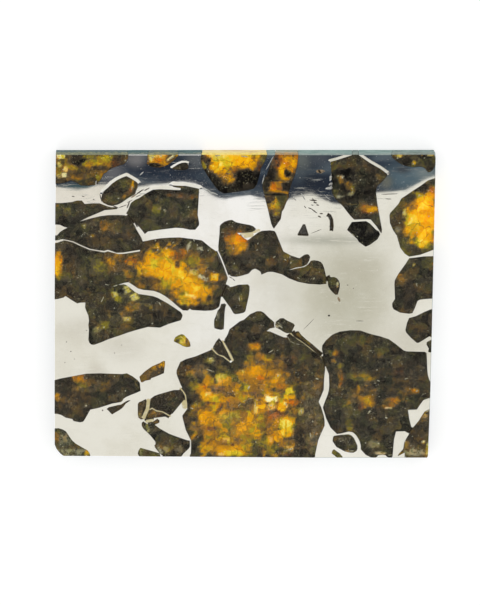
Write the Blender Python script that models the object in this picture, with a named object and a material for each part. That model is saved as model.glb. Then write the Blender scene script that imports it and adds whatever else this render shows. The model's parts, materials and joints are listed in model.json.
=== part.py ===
"""A polished slice of a pallasite meteorite: olivine crystals set in a nickel-iron matrix.

The slice lies on its underside, which is at Z = 0, with its middle on the Z axis. +X is the photo's right
and +Y its top. Outlines are read by eye from the photo, in the photo's own pixels. photo_to_metres turns
them into the slice's plane from its real width and the camera's tilt.
"""

import math
from typing import NamedTuple

import bmesh
import bpy
from mathutils import Matrix, Vector

# Driving dimensions, in metres and radians
SLICE_WIDTH = 0.048
SLICE_THICKNESS = 0.003
CAMERA_TILT = math.radians(12.5)

# The fit between a crystal and its pocket, and how far a crystal's side leans in over the thickness
FIT_GAP = 0.00004
SIDE_LEAN = 0.00014
METAL_FLOOR = 0.0004
SHALLOW_DEPTH = 0.0016
SPECK_DEPTH = 0.0006
CUT_MARGIN = 0.0006

# Where the polished face lies in the photo, in pixels
FACE_LEFT_PX = 54.2
FACE_RIGHT_PX = 435.1
FACE_TOP_PX = 155.1
FACE_BOTTOM_PX = 458.2

METRES_PER_PIXEL = SLICE_WIDTH / (FACE_RIGHT_PX - FACE_LEFT_PX)
FACE_MIDDLE_PX = ((FACE_LEFT_PX + FACE_RIGHT_PX) / 2, (FACE_TOP_PX + FACE_BOTTOM_PX) / 2)

SLICE_OUTLINE = [
    (56.3, 155.3), (250, 155.2), (433.5, 155.1), (435.1, 158), (434.8, 185), (433.5, 252), (432, 330),
    (430.5, 400), (428.5, 456.5), (427.5, 458.2), (405, 458.2), (315, 458.2), (180, 457.2), (63, 456.4),
    (60, 454.2), (56, 449.5), (54.2, 445), (54.2, 415), (54.6, 300), (55.6, 205),
]


class Tint(NamedTuple):
    """One kind of material: its colour, and how rough and how metallic it is."""

    colour: tuple
    roughness: float
    metallic: float


TINTS = {
    "nickel_iron": Tint((0.72, 0.70, 0.65), 0.22, 1.0),
    "olivine_amber": Tint((0.62, 0.38, 0.06), 0.08, 0.0),
    "olivine_green": Tint((0.26, 0.25, 0.07), 0.08, 0.0),
    "olivine_brown": Tint((0.20, 0.12, 0.04), 0.10, 0.0),
    "olivine_dark": Tint((0.045, 0.040, 0.032), 0.10, 0.0),
    "troilite": Tint((0.060, 0.052, 0.045), 0.45, 0.0),
}


class Grain(NamedTuple):
    """A crystal or an inclusion: its tint, the height of its lowest point, and its outline in the face."""

    tint: str
    floor: float
    outline: list


THROUGH = -CUT_MARGIN
SHALLOW = SLICE_THICKNESS - SHALLOW_DEPTH
SPECK = SLICE_THICKNESS - SPECK_DEPTH

GRAINS = {
    "crystal_top_left": Grain("olivine_brown", THROUGH, [
        (46, 146), (129.3, 146), (129, 155.4), (128.5, 159), (127, 162), (124, 165), (120, 166),
        (113, 168.5), (109.5, 170.5), (107, 173), (104.5, 174), (103, 177), (100.5, 181), (97, 185.5),
        (93, 185.5), (89, 186.3), (81, 186), (77, 183.5), (71, 180.8), (66, 183), (60, 184), (46, 184.8),
    ]),
    "crystal_pentagon": Grain("olivine_dark", THROUGH, [
        (126.8, 176.2), (131, 178.5), (136, 181.5), (138.5, 183.8), (138, 188), (136.5, 191),
        (135.5, 194.5), (131, 197), (127, 199.5), (122, 203), (118, 205), (112, 206.3), (108, 205.5),
        (103, 203), (101, 200), (102, 195), (104.5, 191), (108, 188), (112, 184), (117, 180.5), (122, 178),
    ]),
    "crystal_left_band": Grain("olivine_dark", METAL_FLOOR, [
        (46, 203), (62, 203), (72, 202), (77, 200.5), (82, 200.5), (85, 204), (92, 203.3), (100, 203.3),
        (107, 206), (111, 207.2), (117.5, 207.3), (118, 209), (112, 209.7), (105, 210.2), (101, 212),
        (95, 214.5), (88, 217.5), (80, 221.5), (90, 218.7), (100, 216.3), (108, 215.2), (118, 215),
        (125, 215.3), (129, 216.5), (131.5, 220), (136, 228), (139, 233), (142, 238), (143.1, 241.3),
        (140.4, 249.4), (136, 249.7), (125, 251.6), (119, 252.2), (114, 251.4), (110, 250), (107, 250.1),
        (104, 251.2), (93, 249.3), (88, 248.1), (80, 244.1), (75, 241.7), (68, 240.2), (65, 238.8),
        (58, 240.4), (46, 241.2), (46, 236), (57, 235.5), (60, 232), (64, 229.5), (67.5, 227.8),
        (64, 227), (60, 225), (46, 224),
    ]),
    "crystal_grey_green": Grain("olivine_green", THROUGH, [
        (126, 213.5), (128, 210.5), (130, 205), (131, 203), (135, 200), (139.5, 198), (143, 195.5),
        (147, 193), (153, 189.8), (160, 189.3), (180, 190.3), (181, 189.8), (181, 188.3), (176, 187.6),
        (173, 186.8), (173, 185.5), (178, 185.8), (186, 186), (197, 188.3), (199.5, 189), (198.8, 203),
        (198.3, 210), (198, 215), (199.5, 223), (199.3, 225.5), (195.5, 230), (190, 230), (183, 228.5),
        (176, 228), (160, 230), (148, 231.8), (144.8, 234.3), (142, 230.5), (138, 226), (134.5, 222.5),
        (132, 219), (129, 216),
    ]),
    "crystal_long_amber": Grain("olivine_amber", THROUGH, [
        (46, 244), (55, 243.2), (62, 241.2), (65, 240.3), (72, 242.2), (80, 245.8), (88, 249.7),
        (93, 251), (104, 253), (107, 252), (110, 251.8), (119, 254.1), (125, 253.7), (136, 252),
        (140, 252.1), (140.1, 249.6), (142.7, 241.4), (148, 240.5), (152, 239.5), (160, 238.3),
        (170, 237.5), (180, 237.3), (192, 238.8), (202, 240.2), (205, 242.5), (211, 247.5), (216, 250.8),
        (218.3, 255), (222.3, 265), (226.5, 274.5), (228, 277), (228, 279), (226.3, 284), (223.5, 290),
        (222, 294), (221, 299.5), (220.3, 304), (219.5, 307), (216, 309.5), (212, 310.7), (205, 311),
        (192, 310.2), (190, 308.8), (188, 310.8), (183, 310.5), (179, 307.5), (171, 300.5), (166, 296.7),
        (160, 293.2), (154, 291), (143, 289.9), (138, 288.5), (134, 285.8), (128.5, 282.3), (124, 283),
        (118, 285), (112, 286.3), (105, 286), (100, 290), (92, 297), (85.3, 302.6), (80, 302.8),
        (77, 303.6), (71, 300), (65.3, 296.2), (63, 297.8), (58, 299), (46, 300.4),
    ]),
    "crystal_green_triangle": Grain("olivine_green", THROUGH, [
        (124, 284.1), (126, 284.8), (129, 286.8), (135, 291.8), (139, 293.9), (143, 294.5), (148, 295.2),
        (153, 296), (158, 297.8), (168, 303.3), (177, 309.3), (181, 312), (182.8, 315), (182.5, 317),
        (181, 320.3), (169, 324), (160, 327.8), (148, 327), (135, 330.5), (127, 333), (120, 335.5),
        (108, 339.5), (101, 342.5), (94, 345), (91, 344.8), (89, 343), (88, 340), (88.6, 330), (88, 325),
        (88.7, 320.5), (88, 315.5), (86, 311), (84.8, 307.5), (85.1, 302.4), (91.8, 296.7), (99.8, 289.7),
        (104.9, 285.7), (112, 286), (118, 284.7),
    ]),
    "crystal_centre_amber": Grain("olivine_amber", THROUGH, [
        (219.5, 226), (221, 224), (224, 221.8), (228, 220.3), (232, 219.8), (235.5, 222), (240, 223.2),
        (250, 225), (253.5, 226.5), (256, 229), (254, 231), (251, 232.3), (246, 232.7), (237, 233),
        (243, 237.5), (247.5, 240.3), (254, 235.5), (258, 232.5), (262, 230.8), (270, 230.3),
        (274.5, 231), (276, 233), (280, 243), (282, 248), (283.5, 251.5), (291, 255.5), (299.5, 258.3),
        (304.5, 254.8), (307, 254.2), (309, 254.8), (310.3, 257), (309.3, 260.8), (306.8, 264.8),
        (302.3, 266.8), (295, 267.8), (289, 270.3), (295.5, 268.8), (302.8, 267.8), (306, 266.4),
        (308, 264.8), (311, 260.8), (314, 260.3), (318, 260.8), (321, 262), (323, 264.5), (324.5, 268.5),
        (326.2, 276), (326.7, 284), (320, 284.8), (308, 284), (298, 282), (289, 278.5), (282, 274.5),
        (273, 272), (268, 272), (261.3, 274.8), (260.5, 272), (258.5, 270.5), (255, 268.8), (252, 270),
        (248.5, 273.8), (241, 276), (236, 277), (231, 276.5), (229.3, 275), (227.3, 271.5), (221.7, 257.5),
        (219.7, 253), (218.2, 250), (218, 246), (219.2, 234),
    ]),
    "crystal_drop": Grain("olivine_dark", THROUGH, [
        (327.6, 277.5), (330, 277), (334, 276.7), (337, 278), (339, 280.5), (340, 284), (339.8, 288),
        (338, 294.8), (335.5, 295), (332.5, 292.5), (330, 289.5), (328.2, 286.5), (327.6, 283),
    ]),
    "crystal_small_wedge": Grain("olivine_dark", THROUGH, [
        (229.5, 287), (233, 286.3), (239, 284.5), (248, 284.2), (249.7, 286), (249.8, 290), (249, 296),
        (246.3, 308), (245.5, 311.5), (243.5, 313), (239, 314), (235, 314.4), (233.3, 313.3),
        (230, 307.5), (225.5, 301.5), (222.4, 297), (223.3, 293.5), (226.3, 287), (227.3, 285),
    ]),
    "crystal_small_post": Grain("olivine_dark", THROUGH, [
        (221, 303.8), (224.5, 303), (226.5, 304.5), (225.5, 307), (224.8, 312), (224.2, 325),
        (223.8, 329.5), (221, 330.3), (217, 329.5), (214.3, 328.5), (213.8, 325), (214, 320),
        (215.5, 316.5), (217.5, 310.5), (219.8, 308),
    ]),
    "crystal_yellow_seed": Grain("olivine_green", THROUGH, [
        (173.5, 340.3), (175, 337.3), (178, 335.2), (181.5, 334), (184, 334.7), (188.5, 339.5),
        (190, 342.5), (190.8, 345.5), (190, 347), (186.5, 347.3), (183, 346.3), (179.5, 344.3),
        (174, 341.8),
    ]),
    "crystal_lower_left": Grain("olivine_brown", THROUGH, [
        (46, 382), (54.5, 380), (60, 378.5), (73, 376), (86, 373.6), (100, 373.2), (122, 374),
        (127, 373.2), (133, 376.5), (138, 380.3), (140, 383), (140.8, 391), (138, 392.3), (130, 395.5),
        (126, 397.3), (123.5, 399), (122, 401.5), (120, 402.5), (112, 403.8), (107, 405.5), (98, 408.3),
        (90, 410), (88, 413.5), (84, 420.5), (82.5, 422.2), (79.5, 422.8), (73, 421.5), (71.8, 419.5),
        (65, 418), (61, 415.5), (57, 414.3), (46, 413.5),
    ]),
    "crystal_splinter": Grain("olivine_brown", THROUGH, [
        (139, 377), (144, 372), (148, 369), (152, 366.3), (160, 362.8), (163, 361), (165, 360.8),
        (165.2, 364), (164, 373.3), (157, 376.3), (151, 378.5), (150.3, 380), (145, 381), (142, 382.8),
        (140.5, 382),
    ]),
    "crystal_thin_sliver": Grain("olivine_dark", SHALLOW, [
        (105.7, 409.3), (108, 407.5), (117, 405.3), (121, 404.6), (126, 401.3), (128.5, 400.2),
        (131, 400.2), (126, 403.5), (123, 407.5), (120, 410), (114, 413.5), (111.5, 415), (107.5, 410.8),
    ]),
    "crystal_bottom_left": Grain("olivine_green", THROUGH, [
        (46, 429), (58, 428.3), (62, 429.5), (65.5, 431.5), (69.5, 437.5), (72, 441), (75.5, 444),
        (84, 449), (87, 450.5), (89, 453), (90.5, 456.5), (91, 466), (46, 466),
    ]),
    "crystal_cracked_left": Grain("olivine_brown", SHALLOW, [
        (137.3, 404), (138.5, 402), (143, 400), (146, 398.5), (146.8, 400.5), (143, 411),
        (141.5, 416), (141.5, 418.5), (143.5, 420), (140.5, 420.5), (138, 418.5), (137.2, 415),
    ]),
    "crystal_cracked_main": Grain("olivine_brown", THROUGH, [
        (150, 399), (154, 396), (158, 394.5), (169, 391.3), (174, 390), (180, 390), (183, 392),
        (184.8, 397), (184, 400), (179.5, 405.5), (175, 411), (172.5, 414), (170, 415.3), (167, 413),
        (164, 411), (156.5, 410), (151.5, 407.3), (149.8, 407.8),
    ]),
    "crystal_cracked_wedge": Grain("olivine_brown", SHALLOW, [
        (150.5, 409.5), (153, 410), (155.5, 412), (163, 412.7), (168.5, 416.7), (158, 418),
        (147, 419.3), (146, 418), (147.2, 413.5),
    ]),
    "crystal_lower_lobe": Grain("olivine_dark", THROUGH, [
        (141.3, 423), (143, 421.5), (147, 424.2), (150.5, 424.2), (152.5, 422), (157, 418.8),
        (159.3, 420.5), (159.2, 422.8), (154.5, 425), (160, 429), (169, 434), (177, 437), (187, 440.5),
        (190, 441), (190, 447), (188.5, 449.5), (183.5, 454), (181.5, 457), (181, 466), (162, 466),
        (161.9, 456), (159.5, 454), (155, 448.5), (154, 445.8), (155.3, 444.5), (155, 442), (150, 435.8),
        (143, 429), (141.3, 426),
    ]),
    "crystal_bottom_sliver": Grain("olivine_green", THROUGH, [
        (137.2, 454), (138, 451), (140, 448), (147, 450), (157, 452.8), (160, 453.8), (161, 457),
        (161, 466), (139.5, 466), (138.8, 457),
    ]),
    "crystal_great_amber": Grain("olivine_amber", THROUGH, [
        (224.3, 339.5), (226, 337), (227.5, 334.5), (229.5, 329), (240, 321), (244, 319.5), (250, 314),
        (257, 311), (261, 311), (264, 312.5), (269, 317.5), (274.3, 322), (274.3, 325), (274.8, 327.5),
        (270, 328.5), (266.8, 331), (270, 331.3), (278, 334.8), (284, 337.2), (288, 337.3), (289.5, 336),
        (291, 334.3), (298, 339.7), (303, 342.8), (312, 350),
        (320, 355.5), (324.5, 363), (325.5, 368.5), (324.5, 378), (324, 390), (320.5, 398.5), (319, 402),
        (321.5, 407.5), (324.2, 416), (325, 421), (325, 426), (320.5, 436), (318.5, 441), (316, 453),
        (315, 458.2), (314.5, 466), (188.5, 466), (189, 457.3), (190.5, 454), (190.8, 447.5),
        (190.7, 441), (185.5, 430.5), (182.5, 419), (182, 416), (187, 409), (187, 405), (185.7, 394),
        (180.5, 385), (177.3, 377), (176.2, 373.5), (176.3, 370.5), (180, 362), (186, 359), (195, 356.5),
        (207, 351.5), (211.5, 349.5), (216, 354), (223, 357.2), (230.5, 362.8), (233.8, 360.3),
        (231.5, 354.5), (226, 344),
    ]),
    "crystal_wedge_top": Grain("olivine_dark", THROUGH, [
        (219, 337.8), (222.5, 342), (224, 345.5), (228.5, 354), (229, 357.2), (224.5, 355.5),
        (217.5, 353.2), (214, 349.2), (212.7, 347.3), (215.5, 342),
    ]),
    "crystal_small_square": Grain("olivine_dark", THROUGH, [
        (275.5, 321.8), (280, 318.2), (283.5, 318), (287, 320.3), (293.8, 323.5), (295, 325.3),
        (291.5, 333), (287, 333.5), (284.5, 332.5), (278, 328.7), (275.5, 327.5), (275, 324.5),
    ]),
    "crystal_shard": Grain("olivine_dark", SHALLOW, [
        (296, 331), (298.5, 331), (301.5, 335), (311, 343.5), (312.5, 346), (314.5, 346), (318, 350.5),
        (320, 355), (309, 345), (297, 336), (294.5, 334.5),
    ]),
    "crystal_great_dark": Grain("olivine_dark", METAL_FLOOR, [
        (322, 345.5), (325.5, 340.5), (331.5, 335), (335.5, 333), (340, 331.3), (350, 330), (360, 330.2),
        (371.5, 334), (380, 336), (389, 339), (395.5, 343.5), (404, 350.3), (407, 351.2), (425, 351.7),
        (427, 353), (427.8, 370), (428.3, 375), (429.5, 379), (430.8, 382), (438, 383), (438, 398),
        (430.5, 398), (424, 400.3), (420.5, 405), (417.5, 409.8), (408.5, 410.2), (410, 420), (412, 428),
        (409.5, 431.5), (396.5, 432), (394.5, 440), (393, 458), (393, 466), (388.6, 466), (388, 458),
        (386, 456), (383, 455.5), (378.5, 456), (377, 458), (376.5, 466), (371.5, 466), (371.5, 458.2),
        (366, 455.5), (361, 450), (361, 446), (359.5, 441), (356.5, 436), (353, 432.8), (349, 432),
        (341, 434), (337, 434.5), (330.5, 428), (326, 418.5), (322.8, 407.8), (324, 404), (327.5, 395),
        (328.8, 390), (329.2, 385), (328.8, 374.5), (326, 367.5), (323.5, 358.5), (321.8, 349),
    ]),
    "crystal_lower_right": Grain("olivine_green", THROUGH, [
        (438, 408), (430, 409), (425, 411.5), (419, 421), (413.5, 427.5), (410.8, 431.8), (406.5, 439),
        (404.5, 443), (403.5, 449.5), (399, 454.5), (398, 456.8), (403.5, 454), (405, 453), (405.3, 458.2),
        (405.3, 466), (438, 466),
    ]),
    "crystal_oval": Grain("olivine_dark", THROUGH, [
        (333, 437.5), (334, 436), (341, 435), (349, 434.4), (352, 435.7), (354.5, 438.5), (358, 446),
        (358, 449.5), (357, 451.5), (354, 453.3), (350, 453.2), (345, 452), (336.5, 447.5), (332.5, 441.5),
    ]),
    "crystal_small_bottom": Grain("olivine_dark", SHALLOW, [
        (331.5, 453.5), (332.5, 450.5), (334, 449.3), (340, 453.5), (343.5, 457.6), (346, 466),
        (339, 466), (336.5, 457.6),
    ]),
    "crystal_right_amber": Grain("olivine_amber", THROUGH, [
        (443, 177), (435, 178), (427.5, 180.5), (420, 186), (413, 190.5), (406, 195.3), (401, 198.5),
        (398, 204), (394, 208.5), (389.8, 213), (389, 215.5), (389.5, 223), (392.5, 230), (396.5, 236),
        (400, 248), (404.5, 254), (409, 257), (420, 255.1), (429, 251.8), (433.5, 250), (443, 248),
    ]),
    "crystal_right_middle": Grain("olivine_brown", THROUGH, [
        (409, 258), (405.5, 263.5), (398, 274), (394.5, 280.5), (394.2, 284), (394.8, 299),
        (392, 303.5), (392.2, 307), (393.5, 309.5), (400, 312.8), (409, 314), (412.5, 313.3),
        (415, 308), (417.5, 301.3), (420, 299.8), (432.5, 298.5), (441, 298), (441, 256.6),
        (433.3, 256), (424, 256.2), (412.5, 257.7),
    ]),
    "crystal_right_small": Grain("olivine_dark", THROUGH, [
        (409, 318), (416, 316), (424, 312), (430, 309.5), (441, 306.5), (441, 338.5), (431.8, 337.5),
        (429.5, 336.5), (423, 340.5), (418.5, 343.2), (416.5, 342.8), (411, 338), (406, 332.5),
        (405.3, 330), (407, 322.5),
    ]),
    "crystal_right_chip": Grain("olivine_dark", SHALLOW, [
        (440, 338.6), (431.8, 339.2), (426.5, 342), (426.3, 344.5), (428.8, 349), (428, 351.5),
        (429, 352.8), (440, 352.3),
    ]),
    "crystal_top_small_amber": Grain("olivine_amber", THROUGH, [
        (147.5, 146), (147.5, 155.4), (147, 160), (146.5, 164), (150, 166.5), (154, 168), (160, 168),
        (165, 166.8), (170, 164.5), (174, 161), (177, 158), (179, 155.4), (182, 146),
    ]),
    "crystal_tiny_drop": Grain("olivine_dark", SHALLOW, [
        (171, 169), (174, 167), (178, 164.5), (182, 163), (186, 162.6), (188.5, 163.5), (189.3, 166),
        (189.2, 169), (186, 170.5), (182, 171), (172.5, 170),
    ]),
    "crystal_top_amber": Grain("olivine_amber", THROUGH, [
        (202.5, 146), (201, 155.4), (200.3, 160), (201, 164), (202.5, 168), (209, 178.5), (216, 188.5),
        (219, 191.5), (224, 194), (236, 192.5), (249, 190.5), (254, 189), (257, 185), (260.5, 173),
        (261, 169), (266, 160), (267.5, 155.4), (269.5, 146),
    ]),
    "crystal_amber_spike": Grain("olivine_brown", THROUGH, [
        (277, 146), (274.5, 155.4), (271, 162), (266.5, 175), (264, 179), (262.5, 183), (262, 187),
        (265, 199.5), (267.5, 209), (271, 224), (272.5, 227.5), (273.8, 229.2), (280.8, 219.5),
        (282, 212), (284, 209), (286, 203.5), (289, 197.5), (288.5, 194), (290.5, 187), (293, 179.5),
        (295, 175), (297.5, 165), (298.5, 155.4), (299, 146),
    ]),
    "crystal_tall": Grain("olivine_dark", THROUGH, [
        (330, 162), (336, 160.5), (349, 156.3), (351.6, 155.4), (352.6, 146), (357, 146),
        (358.5, 155.4), (365, 160), (370, 163.3), (380, 169), (386.5, 173.8), (387.3, 175.5),
        (383.5, 180.5), (378, 185.5), (376.5, 188), (375.8, 192), (377, 202), (382, 230), (381.5, 233.5),
        (380.6, 233), (376.5, 226.8), (370.5, 219.8), (366, 219.5), (354, 220), (350, 216), (346, 211),
        (343, 207), (336, 200), (334, 197.5), (332, 194), (331, 190), (332, 183), (331.2, 180), (331, 174),
    ]),
    "crystal_dark_hexagon": Grain("olivine_dark", THROUGH, [
        (351.5, 222), (361, 221.3), (366, 221.1), (370, 223.5), (376, 229.8), (379, 231.5),
        (380.2, 234.5), (377.5, 239.5), (370, 245), (365.5, 247), (358.5, 242), (357, 239.2),
        (350, 233), (346.7, 230), (348.5, 226.5),
    ]),
    "crystal_top_right": Grain("olivine_brown", THROUGH, [
        (390, 146), (390.5, 155.2), (391.5, 158), (397, 162.5), (401, 165), (405, 166.5), (413, 167.8),
        (418, 167), (422, 167.5), (424.5, 169), (427.5, 173), (430, 172.5), (432.5, 170.5),
        (435, 166), (443, 163), (443, 146),
    ]),
    "inclusion_triangle": Grain("troilite", SPECK, [
        (304, 223.8), (305.5, 225.5), (308, 235.8), (298.5, 234.5), (298, 232.5), (301.5, 227.5),
    ]),
    "inclusion_drop": Grain("troilite", SPECK, [
        (326.5, 213.8), (328.5, 213), (330.5, 214), (331.8, 216.5), (331.3, 227), (332.8, 229.5),
        (332.5, 231), (331, 231.6), (329.2, 228), (330.3, 221), (329.5, 218.5),
    ]),
    "inclusion_dot": Grain("troilite", SPECK, [
        (327, 315.6), (328, 314.2), (330, 314.2), (331, 315.6), (330, 317), (328, 317),
    ]),
}


def photo_to_metres(pixel):
    """A point of the polished face, from its place in the photo."""
    across = (pixel[0] - FACE_MIDDLE_PX[0]) * METRES_PER_PIXEL
    up = (FACE_MIDDLE_PX[1] - pixel[1]) * METRES_PER_PIXEL / math.cos(CAMERA_TILT)
    return across, up


def clear_scene():
    for obj in list(bpy.data.objects):
        bpy.data.objects.remove(obj, do_unlink=True)
    for collection in list(bpy.data.collections):
        bpy.data.collections.remove(collection)


def new_collection(name):
    collection = bpy.data.collections.new(name)
    bpy.context.scene.collection.children.link(collection)
    return collection


def make_material(name, tint):
    """A Principled material. The default material that Blender adds to its nodes is the one that is set."""
    material = bpy.data.materials.new(name)
    material.use_nodes = True
    shader = material.node_tree.nodes["Principled BSDF"]
    shader.inputs["Base Color"].default_value = (*tint.colour, 1.0)
    shader.inputs["Roughness"].default_value = tint.roughness
    shader.inputs["Metallic"].default_value = tint.metallic
    material.diffuse_color = (*tint.colour, 1.0)
    return material


def outline_curve(name, outline, bottom, top, grow=0.0):
    """A filled 2D curve that stands from bottom to top, its outline moved outwards by grow."""
    curve = bpy.data.curves.new(name, "CURVE")
    curve.dimensions = "2D"
    curve.fill_mode = "BOTH"
    curve.extrude = (top - bottom) / 2
    curve.offset = grow
    spline = curve.splines.new("POLY")
    spline.points.add(len(outline) - 1)
    for point, pixel in zip(spline.points, outline):
        point.co = (*photo_to_metres(pixel), 0.0, 1.0)
    spline.use_cyclic_u = True
    obj = bpy.data.objects.new(name, curve)
    obj.location.z = (bottom + top) / 2
    return obj


def mesh_from_curve(curve_obj, collection):
    """The curve's solid as a mesh object in the collection, with its caps welded to its sides."""
    bpy.context.scene.collection.objects.link(curve_obj)
    graph = bpy.context.evaluated_depsgraph_get()
    name = curve_obj.name
    mesh = bpy.data.meshes.new_from_object(curve_obj.evaluated_get(graph))
    mesh.transform(curve_obj.matrix_world)
    curve = curve_obj.data
    bpy.data.objects.remove(curve_obj, do_unlink=True)
    bpy.data.curves.remove(curve)
    shape = bmesh.new()
    shape.from_mesh(mesh)
    bmesh.ops.remove_doubles(shape, verts=shape.verts, dist=1e-6)
    bmesh.ops.recalc_face_normals(shape, faces=shape.faces)
    shape.to_mesh(mesh)
    shape.free()
    mesh.name = name
    obj = bpy.data.objects.new(name, mesh)
    collection.objects.link(obj)
    return obj


def lean_sides(obj):
    """Draws the lowest points in towards the middle, as the sides of a real crystal lean in below the face."""
    xs = [vertex.co.x for vertex in obj.data.vertices]
    ys = [vertex.co.y for vertex in obj.data.vertices]
    bottom = min(vertex.co.z for vertex in obj.data.vertices)
    middle = Vector(((min(xs) + max(xs)) / 2, (min(ys) + max(ys)) / 2, 0.0))
    half_size = min(max(xs) - min(xs), max(ys) - min(ys)) / 2
    kept = 1.0 - SIDE_LEAN / half_size
    shape = bmesh.new()
    shape.from_mesh(obj.data)
    lowest = [vert for vert in shape.verts if vert.co.z < bottom + CUT_MARGIN / 2]
    bmesh.ops.scale(shape, verts=lowest, vec=(kept, kept, 1.0), space=Matrix.Translation(-middle))
    shape.to_mesh(obj.data)
    shape.free()


def grain_solid(name, grain, collection, grow, drop):
    """A crystal's shape, reaching past the polished face. grow widens it and drop deepens it."""
    floor = grain.floor if grain.floor < 0 else grain.floor - drop
    curve = outline_curve(name, grain.outline, floor, SLICE_THICKNESS + CUT_MARGIN, grow)
    solid = mesh_from_curve(curve, collection)
    lean_sides(solid)
    return solid


def add_boolean(obj, name, operation, target=None, targets=None):
    cut = obj.modifiers.new(name, "BOOLEAN")
    cut.operation = operation
    cut.solver = "EXACT"
    if targets is None:
        cut.object = target
    else:
        cut.operand_type = "COLLECTION"
        cut.collection = targets


def make_slice():
    clear_scene()
    parts = new_collection("pallasite_slice")
    cutters = new_collection("cutters")
    pockets = new_collection("pocket_cutters")
    materials = {name: make_material(name, tint) for name, tint in TINTS.items()}

    blank_curve = outline_curve("slice_blank", SLICE_OUTLINE, 0.0, SLICE_THICKNESS)
    blank = mesh_from_curve(blank_curve, cutters)
    matrix = bpy.data.objects.new("nickel_iron_matrix", blank.data.copy())
    matrix.data.materials.append(materials["nickel_iron"])

    crystals = []
    for name, grain in GRAINS.items():
        grain_solid("pocket_" + name, grain, pockets, 0.0, FIT_GAP)
        crystal = grain_solid(name, grain, parts, -FIT_GAP, 0.0)
        crystal.data.materials.append(materials[grain.tint])
        crystals.append(crystal)

    parts.objects.link(matrix)
    add_boolean(matrix, "crystal pockets", "DIFFERENCE", targets=pockets)
    for crystal in crystals:
        add_boolean(crystal, "cut flush", "INTERSECT", target=blank)

    for cutter in [*cutters.objects, *pockets.objects]:
        cutter.hide_render = True
        cutter.display_type = "WIRE"


make_slice()
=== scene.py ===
"""Looks of the pallasite slice: mirror-polished nickel-iron round stained, see-through olivine.

Lengths are metres. Places on the polished face are read from the photo in its own pixels, and PhotoMap
turns them into the slice's plane.
"""

import json
import logging
import math
from collections.abc import Iterable
from dataclasses import dataclass, field
from enum import Enum

import bmesh
import bpy
from mathutils import Matrix, Vector, noise
from mathutils.geometry import intersect_point_line
from mathutils.kdtree import KDTree


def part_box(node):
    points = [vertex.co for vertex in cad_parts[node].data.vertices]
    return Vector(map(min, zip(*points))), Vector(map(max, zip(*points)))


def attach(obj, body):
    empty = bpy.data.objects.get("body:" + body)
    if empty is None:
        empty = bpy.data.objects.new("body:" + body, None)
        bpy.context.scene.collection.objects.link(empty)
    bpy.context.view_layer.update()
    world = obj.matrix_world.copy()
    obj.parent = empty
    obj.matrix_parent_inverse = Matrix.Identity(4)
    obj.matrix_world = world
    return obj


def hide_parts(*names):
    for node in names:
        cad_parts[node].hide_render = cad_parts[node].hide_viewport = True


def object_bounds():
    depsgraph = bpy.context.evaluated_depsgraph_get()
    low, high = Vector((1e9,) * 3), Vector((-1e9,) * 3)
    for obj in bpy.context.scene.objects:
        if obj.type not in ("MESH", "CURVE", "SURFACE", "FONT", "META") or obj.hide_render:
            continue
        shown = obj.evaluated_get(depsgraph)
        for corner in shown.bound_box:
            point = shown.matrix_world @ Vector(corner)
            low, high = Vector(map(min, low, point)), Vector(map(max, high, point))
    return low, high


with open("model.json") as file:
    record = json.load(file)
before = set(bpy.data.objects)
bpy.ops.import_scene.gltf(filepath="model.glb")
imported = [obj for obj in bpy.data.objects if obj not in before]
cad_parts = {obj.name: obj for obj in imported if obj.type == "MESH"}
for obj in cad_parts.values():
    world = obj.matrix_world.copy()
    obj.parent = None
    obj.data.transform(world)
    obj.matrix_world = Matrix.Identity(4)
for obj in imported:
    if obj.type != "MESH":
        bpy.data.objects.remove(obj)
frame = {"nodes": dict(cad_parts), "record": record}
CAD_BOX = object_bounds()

LOG = logging.getLogger("pallasite_slice")
MM = 0.001
SLOTS = {part["node"]: part["material_slot"] for part in frame["record"]["subparts"]}
# A face is a wall where its normal rises less than the first, and level where it rises more than the second.
WALL_RISE, LEVEL_RISE = 0.3, 0.99
# How close to the polished face a corner has to be to lie on it.
FACE_REACH = 0.005 * MM
# Where the patterns of noise_vector start. Unseeded, they start from the clock and differ in each run.
NOISE_SEED = 1

Colour = tuple[int, int, int]
Socket = bpy.types.NodeSocket
Material = bpy.types.Material
Shape = bmesh.types.BMesh
Face = bmesh.types.BMFace
Vertex = bmesh.types.BMVert


@dataclass(frozen=True)
class PhotoMap:
    """Where the polished face lies in the photo, and how far the camera is tilted off square."""

    left: float = 54.2
    right: float = 435.1
    top: float = 155.1
    bottom: float = 458.2
    tilt: float = math.radians(12.5)
    frame_width: float = 480.0
    frame_height: float = 605.0

    @property
    def pixel(self) -> float:
        """The size of one photo pixel on the slice."""
        return (CAD_BOX[1].x - CAD_BOX[0].x) / (self.right - self.left)

    def point(self, x: float, y: float) -> Vector:
        """The place on the polished face of one photo pixel.

        Args:
            x: The pixel's distance from the photo's left side.
            y: The pixel's distance from the photo's top.

        Returns:
            The point on the polished face.
        """
        across = (x - (self.left + self.right) / 2) * self.pixel
        up = ((self.top + self.bottom) / 2 - y) * self.pixel / math.cos(self.tilt)
        return Vector((across, up, CAD_BOX[1].z))


PHOTO = PhotoMap()
PIXEL = PHOTO.pixel
CUT_SIDES = [
    (56.3, 155.3), (250, 155.2), (433.5, 155.1), (435.1, 158), (434.8, 185), (433.5, 252), (432, 330),
    (430.5, 400), (428.5, 456.5), (427.5, 458.2), (405, 458.2), (315, 458.2), (180, 457.2), (63, 456.4),
    (60, 454.2), (56, 449.5), (54.2, 445), (54.2, 415), (54.6, 300), (55.6, 205),
]


def flattened(place: Vector) -> Vector:
    """The place without its height."""
    return Vector((place.x, place.y, 0.0))


def clamped(share: float) -> float:
    """The share, kept from 0 to 1."""
    return min(1.0, max(0.0, share))


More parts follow.
